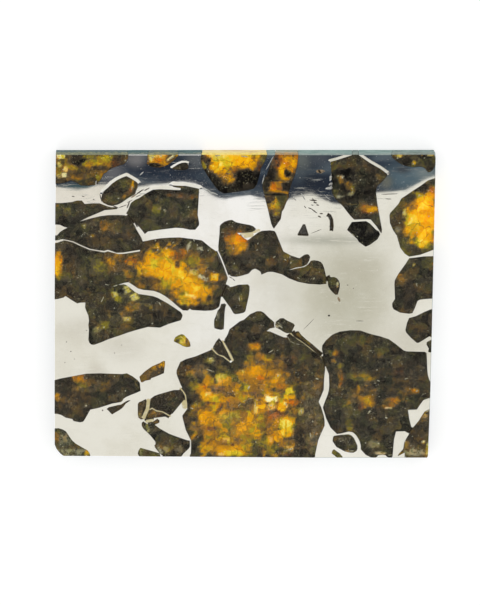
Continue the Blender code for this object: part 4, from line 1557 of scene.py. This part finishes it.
        P(234, 405, 8, 6, S.MAUVE, 0.9), B(249, 394, 7, 1.7, S.MAUVE, 0.95),
        P(248.5, 405, 6, 5.5, S.MAUVE, 0.95), B(256, 406.5, 1.8, 7, S.STRAW, 0.75),
        B(259.5, 409, 1.6, 5, S.AMBER, 0.8), B(263, 405.5, 2.2, 7.5, S.GOLD, 0.9),
        B(268.5, 399, 2.6, 3, S.PALE), B(274.2, 399.6, 3.2, 2.6, S.PALE), B(273, 403, 2, 1.8, S.LIME),
        P(271, 407.5, 4.5, 3, S.STRAW, 0.75), B(267.5, 403.8, 1.2, 1, S.UMBER),
        B(277.4, 403.4, 1.2, 1.4, S.UMBER), P(282.5, 406.5, 4.8, 4.8, S.GOLD),
        B(285.8, 405, 1.3, 3.4, S.STRAW, 0.8, 0.4), P(257, 370.5, 10, 6.5, S.AMBER),
        P(251, 371, 6, 5, S.ORANGE, 0.5), P(261, 377.5, 5, 3.2, S.RUST, 0.6),
        B(270, 371, 4.4, 5.4, S.OCHRE, 0.9), P(278, 376, 2.6, 3, S.STRAW, 0.6),
        P(277, 384, 10, 6, S.ORANGE, 0.7), B(289, 391.5, 3.6, 3.1, S.YELLOW, 1.0, 0.3),
        B(290, 397.8, 6, 2, S.GOLD), P(293, 403, 7, 3.6, S.RUST, 0.8), P(275, 415, 7.5, 5, S.MAUVE, 0.95),
        P(284, 414.5, 4.5, 2.6, S.MAROON, 0.75), B(290, 421, 6, 3, S.GOLD, 0.9),
        B(261, 417, 3.2, 3.2, S.LIME, 0.6), P(301, 412, 3.2, 4.5, S.STRAW, 0.5),
        B(247, 389, 3.4, 3.5, S.GOLD, 0.8), P(261.5, 387, 4.6, 5, S.MAUVE, 0.7),
        P(273, 390.5, 2.4, 3, S.UMBER, 0.9), P(285.5, 368, 5, 4.5, S.MAROON, 0.85),
        P(292, 380, 4.5, 5, S.UMBER, 0.85), P(303, 372, 3.5, 9, S.PLUM, 0.8),
        B(240.5, 372.5, 4.5, 3, S.TAN, 0.9), P(190, 396, 5.5, 5, S.UMBER, 0.85),
        B(198, 428.5, 8, 3.2, S.MAUVE, 0.7), B(211, 429, 4, 1.9, S.MAROON, 0.8), P(227, 418, 13, 6, S.TAN, 0.9),
        B(241, 419, 5, 5, S.TAN, 0.6), P(237, 431, 11, 6, S.TAN, 0.5), P(255, 431, 7, 8, S.LIME, 0.6),
        B(269, 421, 3, 11, S.RUST, 0.7), P(271.5, 438, 4, 8, S.ORANGE, 0.85),
        B(271, 440, 1.3, 3, S.STRAW, 0.45), B(286, 429, 5.8, 8.5, S.YELLOW, 0.95),
        B(286, 429, 0.5, 8, S.OCHRE, 0.7), B(286, 433, 5.5, 0.5, S.OCHRE, 0.7),
        P(286, 444, 10, 5.5, S.BROWN, 0.85), B(289, 449, 4.2, 2.6, S.STRAW, 0.45),
        P(289, 455.4, 5.4, 1.6, S.MAROON, 0.9), B(298, 430, 2, 10, S.UMBER, 0.8),
        B(293, 433, 0.6, 5, S.STRAW, 0.5), P(256.5, 447, 6.5, 7, S.MOSS, 0.85), B(248, 452, 4, 4, S.BROWN, 0.8),
        P(208.5, 447, 8, 9, S.AMBER, 0.8), P(211, 443, 3.4, 3.6, S.RUST, 0.5), B(230, 451, 14, 5, S.GOLD, 0.9),
        B(234, 453.5, 8, 3, S.YELLOW, 0.5), P(232, 445.5, 2.2, 1.4, S.MAROON, 0.85),
        B(226, 441, 3.2, 2.8, S.STRAW, 0.35), B(221, 455.6, 3, 1.4, S.STRAW, 0.6),
        P(184, 403, 6, 34, S.SMOKE, 0.95), P(185, 366, 8, 5, S.PLUM, 0.6), P(313, 402, 11, 58, S.UMBER, 0.7),
        P(314, 415, 9, 40, S.TAUPE, 0.3), P(318, 385, 5, 7, S.BROWN, 0.7), P(312, 436, 2.5, 4, S.STRAW, 0.4),
        P(317, 434, 2, 2, S.ORANGE, 0.7), P(234, 366, 12, 6, S.SMOKE, 0.8), P(210, 360, 3.5, 3, S.STRAW, 0.5),
        P(250, 332, 28, 21, S.SMOKE, 0.95), P(252, 322, 12, 8, S.SLATE, 0.5), P(254, 347, 6.5, 5, S.RUST, 0.6),
        P(255, 346.5, 5.5, 4, S.ORANGE, 0.8), P(260, 356, 5, 5, S.RUST, 0.8), P(270, 358, 4, 5, S.LIME, 0.5),
        P(247, 364, 5, 4, S.OCHRE, 0.8), P(290, 359, 6, 4, S.MAROON, 0.8), P(301, 358, 4, 3, S.OLIVE, 0.5),
        P(279, 349, 14, 5, S.SLATE, 0.6), P(230, 422, 44, 36, S.RUST, 0.13),
    ]),
    Olivine("crystal_wedge_top", S.SMOKE, [P(219, 349, 5, 5, S.PLUM, 0.5)]),
    Olivine("crystal_small_square", S.SMOKE, [P(278, 325.5, 3, 2.2, S.FROST, 0.9), P(288, 330, 6, 5, S.MOSS, 0.5)]),
    Olivine("crystal_shard", S.UMBER, [P(300, 345, 6, 4, S.MAROON, 0.5)]),
    Olivine("crystal_great_dark", S.SMOKE, [
        P(352, 402, 16, 30, S.SLATE, 0.7), P(410, 372, 18, 12, S.PLUM, 0.7), P(350, 345, 16, 10, S.MOSS, 0.4),
        P(336, 354, 4, 4, S.RUST, 0.8), P(334, 361, 3, 3, S.AMBER, 0.8), P(340, 366, 3, 3.4, S.OCHRE, 0.8),
        P(340.5, 378, 2.4, 9, S.RUST, 0.85), P(329.6, 351, 1.8, 3, S.OLIVE, 0.6),
        P(356, 376, 14, 5, S.MOSS, 0.9), P(363, 378, 13, 3.5, S.OLIVE, 0.8), P(372, 380, 4, 3, S.BROWN, 0.6),
        P(366, 395, 15, 13, S.UMBER, 0.9), P(367, 402, 9, 7, S.BROWN), P(368, 400, 4, 4, S.OCHRE, 0.7),
        P(360, 407, 4, 4, S.MAROON, 0.95), P(369, 389, 9, 4, S.RUST, 0.6), P(359, 390, 1.6, 5, S.AMBER, 0.6),
        P(388, 406, 12, 2.2, S.RUST, 0.75, 0.12), P(390, 401, 8, 3.5, S.BROWN, 0.7),
        P(416, 391, 4, 3, S.ORANGE, 0.85), P(407, 392, 11, 3.5, S.RUST, 0.5), P(398, 390, 12, 5, S.UMBER, 0.7),
        P(348, 408, 5, 12, S.OLIVE, 0.5), P(350, 425, 4, 6, S.OLIVE, 0.65), P(372, 418, 8, 5, S.MAROON, 0.5),
        P(363, 339, 3, 6, S.OLIVE, 0.45), P(382, 352, 8, 6, S.MOSS, 0.6), P(373, 445, 6, 4, S.TAUPE, 0.7),
        B(389, 408.2, 3.4, 0.8, S.PALE, 0.5, 0.12), P(395, 401, 6, 3, S.RUST, 0.6),
        P(407, 400, 4, 2.4, S.MOSS, 0.8), P(381, 453.6, 5.4, 1.8, S.ASH, 0.9), P(415, 400, 4, 5, S.MOSS, 0.7),
        P(395, 425, 12, 10, S.SMOKE), P(384, 361, 8, 2.5, S.BLACK, 0.7), P(382, 383, 4, 2, S.BLACK, 0.7),
    ]),
    Olivine("crystal_lower_right", S.UMBER, [
        P(419, 434, 12, 11, S.PLUM, 0.85), P(425, 416.4, 2.4, 2.4, S.STRAW, 0.4),
        P(429, 444, 4, 12, S.MOSS, 0.9), P(428.4, 410.6, 2, 1.6, S.FROST, 0.9), P(427, 422, 3, 3, S.OLIVE, 0.4),
        B(427.6, 449, 1.5, 5.6, S.CELERY, 0.7), P(423.4, 442.6, 2, 1.7, S.PALE, 0.75),
        P(416, 453, 10, 4, S.FROST, 0.5), P(407.4, 444, 2.4, 4, S.BROWN, 0.8), P(412, 431, 3, 2, S.OLIVE, 0.4),
    ]),
    Olivine("crystal_oval", S.SMOKE, [
        P(343, 440, 4, 2.5, S.TAUPE, 0.4), P(350, 447, 5, 2.5, S.MOSS, 0.9),
        P(349, 452, 7, 1.3, S.CELERY, 0.45), P(348, 436, 8, 4, S.MOSS, 0.4),
    ]),
    Olivine("crystal_small_bottom", S.MOSS),
    Olivine("crystal_right_amber", S.MOSS, [
        P(398, 228, 9, 20, S.SMOKE, 0.8), P(420, 220, 17, 30, S.AMBER), P(425, 207, 8, 12, S.ORANGE, 0.85),
        P(430, 198, 5, 8, S.ORANGE), P(423, 221, 13, 26, S.BLAZE, 0.9), P(416, 226, 7, 10, S.YELLOW, 0.6),
        P(424, 240, 8, 6, S.YELLOW, 0.5), P(420, 188, 8, 5.5, S.BLACK, 0.95), P(431, 190, 4, 4, S.RUST, 0.9),
        P(406, 219, 4, 6, S.LIME, 0.65), P(418, 195, 3.5, 3.5, S.LIME, 0.7), P(398, 219, 8, 16, S.UMBER, 0.8),
        P(404, 212, 2, 3.5, S.STRAW, 0.7), P(398, 230, 2.5, 3.5, S.TAUPE, 0.8),
        P(414, 251, 14, 4, S.UMBER, 0.9), P(412, 205, 5, 6, S.BROWN, 0.7), P(409, 196, 6, 5, S.SMOKE, 0.8),
    ], side=Side.BRIGHT),
    Olivine("crystal_right_middle", S.SMOKE, [
        P(403, 278, 7, 7, S.UMBER, 0.8), P(401, 277, 4, 4, S.BROWN, 0.7), P(427, 262, 6, 6, S.OLIVE, 0.5),
        P(413.5, 265, 1.6, 1.6, S.YELLOW, 0.8), P(424, 292, 7, 6, S.UMBER, 0.6), P(412, 290, 8, 8, S.PLUM, 0.6),
        P(405, 262, 5, 3, S.TAUPE, 0.5), P(420, 274, 8, 5, S.SLATE),
    ]),
    Olivine("crystal_right_small", S.SMOKE, [P(420, 330, 5, 4, S.PLUM, 0.5)]),
    Olivine("crystal_right_chip", S.SMOKE, [P(430, 343, 2, 4, S.MOSS, 0.7)]),
    Olivine("crystal_top_small_amber", S.AMBER, [
        P(152, 159, 4.5, 4, S.STRAW, 0.9), P(161, 157, 5, 3, S.STRAW, 0.7), P(158, 162, 5, 3.5, S.ORANGE, 0.95),
        P(166, 159, 3, 4, S.ORANGE, 0.8), P(172, 160, 6.5, 6, S.UMBER), P(171, 158, 5, 0.9, S.PALE, 0.95, 0.6),
        P(148, 161, 2, 4, S.MAROON, 0.8), P(156, 166, 8, 2, S.BLACK, 0.95),
    ]),
    Olivine("crystal_tiny_drop", S.SMOKE, [P(173, 166, 3, 2.4, S.MAROON, 0.9), P(181, 162, 2, 2, S.UMBER)]),
    Olivine("crystal_top_amber", S.BLACK, [
        P(228, 176, 16, 16, S.UMBER, 0.9), P(226, 176, 10, 8, S.RUST, 0.6),
        P(231, 180, 4.5, 8, S.AMBER, 0.9, 0.3), P(223, 175, 4, 4, S.ORANGE, 0.6), P(218, 168, 12, 6.5, S.AMBER),
        P(232, 159, 27, 11, S.GOLD), P(228, 161, 22, 9.5, S.YELLOW, 0.9), P(218, 156, 8, 4, S.STRAW, 0.5),
        P(236, 154, 12, 2.4, S.STRAW, 0.4), P(243, 164, 8, 7, S.BLAZE, 0.8), P(253, 164, 7, 7, S.ORANGE, 0.7),
        P(248, 156, 9, 3, S.YELLOW, 0.6), P(203, 166, 3, 4, S.LIME, 0.75), P(204, 158, 4, 4, S.MAROON, 0.8),
        P(259, 166, 3, 6, S.MAROON, 0.9), P(263, 160, 5, 6, S.MOSS, 0.9), P(236, 170, 8, 4, S.RUST, 0.7),
        P(248, 177, 12, 6, S.BLACK, 0.9), P(230, 190, 16, 6, S.BLACK, 0.9), P(213, 178, 5, 6, S.BLACK, 0.9),
        P(247, 182, 15, 9, S.BLACK, 0.9),
    ], side=Side.BRIGHT),
    Olivine("crystal_amber_spike", S.UMBER, [
        P(286, 164, 12, 12, S.RUST), P(290, 161, 8, 9, S.ORANGE), P(297, 160, 2, 12, S.RUST, 0.8),
        P(282, 171, 5, 7, S.BLAZE, 0.85), P(287, 179, 5, 2, S.GOLD, 0.9),
        P(287.5, 173.5, 3.6, 3.4, S.BLACK, 0.95), P(274, 163, 5, 12, S.MAROON, 0.95),
        P(270, 174, 5, 7, S.BLACK, 0.9), P(275, 187, 10, 6, S.RUST, 0.9), P(273, 188, 5, 4, S.ORANGE, 0.7),
        B(286, 187, 4.4, 4, S.BLACK, 0.9), P(266, 187, 3, 6, S.BLACK, 0.9), P(282, 193, 8, 2, S.ORANGE, 0.7),
        P(269, 198, 6, 4, S.MAROON, 0.8), P(284, 198, 6, 4, S.MOSS, 0.8), P(276, 207, 5.5, 9, S.OCHRE, 0.9),
        P(277, 203, 3.6, 6.5, S.GOLD, 0.75), P(274, 222, 6, 8, S.SMOKE), P(270, 181, 12, 1.2, S.BLACK, 0.9),
        P(276, 194.8, 14, 1.1, S.BLACK, 0.95),
    ], side=Side.ORANGE),
    Olivine("crystal_tall", S.SMOKE, [
        P(355, 190, 30, 36, S.BLACK, 0.45), P(352, 166, 14, 8, S.SLATE, 0.8), P(372, 166, 9, 8, S.MAROON, 0.5),
        P(334, 164, 6, 8, S.MOSS, 0.7), P(346, 173, 10, 4, S.BLACK, 0.7), P(341.5, 177.5, 2, 2, S.PALE, 0.7),
        P(339, 177, 3.5, 3, S.OCHRE, 0.6), P(341, 181, 3.5, 3, S.ORANGE, 0.7), P(348, 185, 4, 5, S.BROWN, 0.9),
        P(352.5, 190, 2.5, 4.5, S.OLIVE, 0.95), P(350, 194.5, 4, 2, S.STRAW, 0.5),
        P(335, 194, 3, 4, S.OLIVE, 0.6), P(340, 197, 4, 1.5, S.FROST, 0.7),
        P(367, 209, 12, 5.5, S.MAROON, 0.95), P(369, 209.5, 9.5, 3.8, S.RUST, 0.9),
        B(371.5, 210, 5, 2.2, S.ORANGE, 0.75, 0.2), P(378, 178, 4, 3, S.UMBER, 0.9),
        P(366, 190, 8, 14, S.BLACK, 0.5), P(354, 203, 10, 4, S.UMBER, 0.6),
    ], side=Side.TEAL),
    Olivine("crystal_dark_hexagon", S.BLACK, [P(355, 234, 5, 3.5, S.SMOKE), P(372, 228, 6, 6, S.SMOKE, 0.8)]),
    Olivine("crystal_top_right", S.MOSS, [
        P(405, 161, 10, 5.5, S.BLACK, 0.95), P(398.6, 156, 4, 2.6, S.OLIVE),
        B(398.6, 155.8, 2, 1.8, S.STRAW, 0.6), P(413.5, 163.6, 2.4, 2.2, S.GOLD),
        P(425, 160, 10, 7, S.SMOKE, 0.9), P(430, 166, 6, 6, S.BLACK, 0.7), B(430, 155.6, 3, 1.6, S.CELERY, 0.7),
        B(421.6, 156, 1, 1, S.STRAW, 0.7), P(393, 158, 3, 4, S.TAUPE, 0.6),
    ], side=Side.TEAL),
]

PITS = marks(
    (309.4, 200.2, 317.4, 200.8, 1.5), (313, 202.4, 317, 203.4, 1.5), (316, 204.8, 319, 205.6, 1.6),
    (308, 207.8, 312, 209.4, 1.1), (311, 208.8, 317, 213.4, 1.3), (319.4, 213.6, 323, 214, 1.3),
    (317.6, 216, 321, 217.5, 1.5), (311, 205, 313.4, 205.6, 0.9), (229, 276.6, 232.6, 278.6, 0.8),
    (232.6, 278.6, 235, 281, 0.7), (303.6, 329.3, 314.3, 318.6, 0.45), (311, 233.5, 321, 229.5, 0.6),
    (347, 285, 348.5, 285, 0.9), (353, 288, 354, 288.6, 0.8), (356, 321, 364, 321, 0.6),
    (70.5, 351.5, 71, 351.5, 1.1), (66, 342, 66.8, 342, 1.0), (64.5, 362.5, 65, 362.5, 0.9),
    (74, 359, 74.6, 359.2, 0.9), (86, 330.5, 86.8, 330.5, 0.9), (114, 353, 115, 353.2, 0.9),
    (121, 345, 121.8, 345.2, 0.8), (381, 194.5, 398, 194, 0.8), (385, 199, 391, 199.3, 0.9),
    (101.8, 410.5, 102.8, 410.5, 1.6), (72, 196.5, 75, 196.8, 0.9), (82, 196.3, 85, 197, 0.8),
    (93, 199.5, 95, 200, 0.8), (303, 347, 306, 345, 0.5), (135.7, 195, 144, 189.4, 1.2),
    (130, 201, 127, 209, 1.4), (135.7, 197.3, 141.4, 195, 0.7), (118.6, 208, 127, 205, 0.9),
    (113, 206, 118.5, 208, 1.2), (100, 194, 102, 202, 1.0), (144.3, 191, 150, 188, 1.2),
    (127, 203, 133, 200, 0.7), (312, 198, 315, 203, 0.8), (304, 206, 306, 208.5, 0.8),
    (293, 198, 296, 201, 0.6),
)
RUST_STAINS = marks(
    (338, 297, 340, 302, 2.2), (315, 171.5, 325, 171.8, 3.6), (318, 169.8, 321, 174, 2.0),
    (131, 198, 137, 194.5, 1.4), (138, 193.5, 142, 191, 1.0),
)
BRIGHT_SCRATCHES = marks(
    (301, 193.4, 305.5, 201, 1.2), (293, 196.5, 296, 200.5, 0.9), (203, 187.5, 214, 194.5, 1.4),
    (96.5, 181, 96, 186, 0.9), (93, 187.5, 97.5, 184.5, 0.9), (140, 175.5, 144, 172, 1.0),
    (262, 184.5, 264.5, 175, 0.8), (266, 170, 274, 155.5, 0.9), (330.6, 175.4, 330, 181.2, 2.2),
    (325.4, 188.8, 332.2, 188, 2.4), (328.6, 185.6, 331, 183, 1.3), (325, 196, 330, 200, 0.7),
    (211, 192, 218, 195, 1.0),
)
# Painted highlights: pale flakes just under the polish, where a fracture face would catch the light.
GLINTS = marks(
    (155, 239.6, 156, 241.4, 1.4), (165.3, 249.6, 167.6, 247.4, 1.2), (157, 250.4, 158.6, 249.6, 1.3),
    (190, 243, 187.2, 251.6, 1.7), (193.4, 239.4, 194.6, 241.6, 1.1), (199.2, 248.8, 204, 251, 1.4),
    (172, 243.6, 174.4, 241.8, 0.9), (196.8, 244, 198, 246.4, 1.0), (104.6, 284, 109, 285.4, 1.0),
    (113, 286.6, 117.7, 285, 1.1), (101, 302.5, 104, 296.4, 0.9), (125.4, 290.8, 127, 293.2, 2.0),
    (133, 297.4, 134.8, 295.4, 2.0), (137.8, 294.6, 139.2, 292.4, 1.3), (114, 295.2, 115.4, 296.6, 1.6),
    (126.6, 319.8, 129.2, 318.8, 1.7), (151.4, 324, 153.4, 323, 1.4), (158.6, 301.6, 161, 306, 0.9),
    (103, 328, 104.8, 326.6, 1.5), (205.5, 368.8, 213.8, 371.9, 1.2), (268.3, 353, 273.9, 349.8, 0.9),
    (255, 401.6, 255.8, 409, 1.0), (288, 337, 290.3, 341.5, 0.6), (290.3, 341.5, 295.5, 343.8, 0.6),
    (295.5, 343.8, 300, 344.5, 0.6), (237.4, 406.9, 241, 403.6, 0.6), (242.4, 402.4, 246.4, 400, 0.6),
    (248, 399.4, 253, 398.3, 0.6), (285.4, 402.4, 287, 407, 1.4), (277, 376.8, 279, 375.2, 1.6),
    (270, 406, 272.4, 405.4, 1.3), (247.4, 390, 250.2, 385.6, 1.8), (301, 409.4, 301.8, 414.4, 1.5),
    (312, 421.2, 313.6, 422.4, 1.5), (310.2, 432.4, 311, 438, 1.4), (315.4, 378.4, 319, 379.4, 1.4),
    (303.8, 375.4, 305.2, 374.4, 1.0), (209, 359.6, 211, 358.2, 1.6), (288.4, 450.2, 293.6, 449, 1.6),
    (266.4, 341.6, 267.6, 342.4, 0.9), (190, 408, 193.6, 409.2, 1.2), (185, 369.6, 185.8, 370.6, 1.0),
    (316.6, 433.8, 317.8, 434.6, 1.1), (378.8, 397, 380, 396.4, 1.0), (367.8, 414.4, 370.8, 410.4, 1.7),
    (385.2, 417.6, 387.8, 418.4, 1.5), (335, 411.6, 336, 410.6, 1.2), (378.2, 443, 379.6, 444.8, 1.5),
    (416, 391.6, 418.4, 390.4, 1.6), (422.8, 394.8, 424, 394, 1.2), (409.4, 389.2, 410.6, 388.8, 0.9),
    (372.2, 395.6, 373.4, 394.6, 1.0), (412.2, 437, 413.4, 436.4, 1.0), (421.8, 441.4, 423.6, 443.2, 1.6),
    (425, 410.4, 426.2, 411.8, 1.2), (365.4, 443.8, 366.6, 443, 1.1), (340.2, 442, 341.8, 441.4, 1.0),
    (388.4, 455.6, 392.8, 455.2, 1.0), (348, 451.6, 355, 451.2, 1.0), (376.4, 370.4, 377.8, 369.6, 1.3),
    (376.6, 380.4, 381, 381.6, 0.9), (404.4, 379.2, 408.6, 378.4, 0.9), (272.8, 258.2, 275.8, 255.8, 1.3),
    (312.6, 279.4, 314.8, 277.8, 1.5), (257.2, 244.4, 258.6, 242.8, 0.9), (256.2, 250.6, 258, 249.4, 1.0),
    (233, 249, 234.2, 248.2, 1.0), (233.8, 264.2, 234.8, 263, 1.0), (323, 262, 324.2, 263.8, 1.1),
    (336.8, 282.4, 337.6, 286.4, 1.2), (290, 263.4, 291.4, 262.6, 1.1), (284, 259.4, 286.4, 260.4, 1.0),
    (239, 297, 239.8, 302, 1.0), (216.8, 313.4, 217.6, 316, 0.9), (216, 319, 216.6, 321, 0.9),
    (277, 324.4, 283.4, 328.6, 0.9), (277.6, 322.4, 279.4, 323.4, 1.3), (125, 161.6, 126.4, 160.2, 1.6),
    (110, 157, 111.4, 156.2, 1.3), (131.8, 190.6, 132.6, 186, 1.2), (118, 199.2, 119.2, 198.2, 1.0),
    (163.6, 210.6, 165, 209.6, 1.1), (188, 207.6, 189.4, 206.8, 1.2), (166.4, 224, 167.8, 223.4, 0.9),
    (83.6, 226.6, 85, 225.2, 1.4), (90.8, 237, 92, 236.2, 1.3), (63, 170.4, 64.2, 169.4, 1.6),
    (65.8, 175.6, 67.2, 174.4, 1.5), (336.8, 176.8, 339, 176, 1.3), (341.4, 177, 342.8, 178.8, 1.6),
    (351, 187.6, 353, 190.6, 1.0), (353, 190.6, 351.6, 193.6, 1.0), (337.4, 196, 341, 197, 0.9),
    (370, 213.4, 371.4, 212.4, 1.1), (352, 233.6, 354.6, 236.4, 1.2), (353.8, 237.4, 356.8, 239.6, 1.4),
    (356.4, 236, 358, 237.2, 0.9), (402.2, 213.4, 403.6, 212.2, 1.6), (398.6, 223.6, 400, 222.2, 1.4),
    (395.8, 236, 397, 235.2, 1.1), (418, 196.6, 419.2, 194.8, 1.6), (428, 217, 429.2, 216, 1.4),
    (416, 233.4, 417, 232.4, 1.2), (412.2, 164.6, 413.6, 163.8, 1.6), (396.2, 159, 398, 158.2, 1.4),
    (423.2, 158.8, 424.8, 158.2, 1.2), (413, 265.6, 414.2, 264.6, 1.2), (415.8, 284.4, 417.4, 283.8, 1.2),
    (85, 406.4, 87, 405.6, 1.4), (124.4, 391.4, 126, 390.8, 1.3), (152, 157.4, 154, 158.8, 1.6),
    (160, 156, 162.6, 156.6, 1.4), (168.4, 160.6, 174.6, 156.6, 1.7), (214, 156.4, 221, 155.9, 1.4),
    (240, 156.4, 249, 157.4, 1.6),
)


def main() -> None:
    """Builds the studio, the metal, its marks and every crystal."""
    logging.basicConfig(level=logging.INFO, format="%(relativeCreated)6.0f ms  %(message)s")
    noise.seed_set(NOISE_SEED)
    Studio().build()
    contact = MottledFinish("olivine_contact", (40, 36, 29), (64, 58, 46), roughness=0.7).build()
    Metal().build(MetalFinish(PolishMarks().build()).build(), SawnMetal().build(), contact)
    finishes = OlivineFinishes.build()
    for crystal in CRYSTALS:
        crystal.build(finishes)
    troilite = MottledFinish("dark_troilite", (30, 28, 26), (70, 66, 58), roughness=0.35).build()
    for node in (name for name, slot in SLOTS.items() if slot == "troilite"):
        frame["nodes"][node].material_slots[0].material = troilite
    SurfaceMarks("pits", PITS).build(MottledFinish("pit_shadow", (48, 42, 36), (104, 96, 84)).build())
    SurfaceMarks("rust_stains", RUST_STAINS).build(
        MottledFinish("rust_bloom", (96, 84, 66), (150, 124, 88), 0.25 * MM).build()
    )
    # The glints are painted highlights, set in pale opaque flakes.
    SurfaceMarks("glints", GLINTS, -0.045 * MM, "olivine_amber", 5).build(
        MottledFinish("painted_glint_flakes", (168, 162, 118), (240, 238, 208), 0.16 * MM, 0.4).build()
    )
    SurfaceMarks("bright_scratches", BRIGHT_SCRATCHES).build(
        MottledFinish("scraped_metal", (190, 190, 188), (248, 248, 246), 0.3 * MM, 0.7, 1.0).build()
    )


if __name__ == "__main__":
    main()
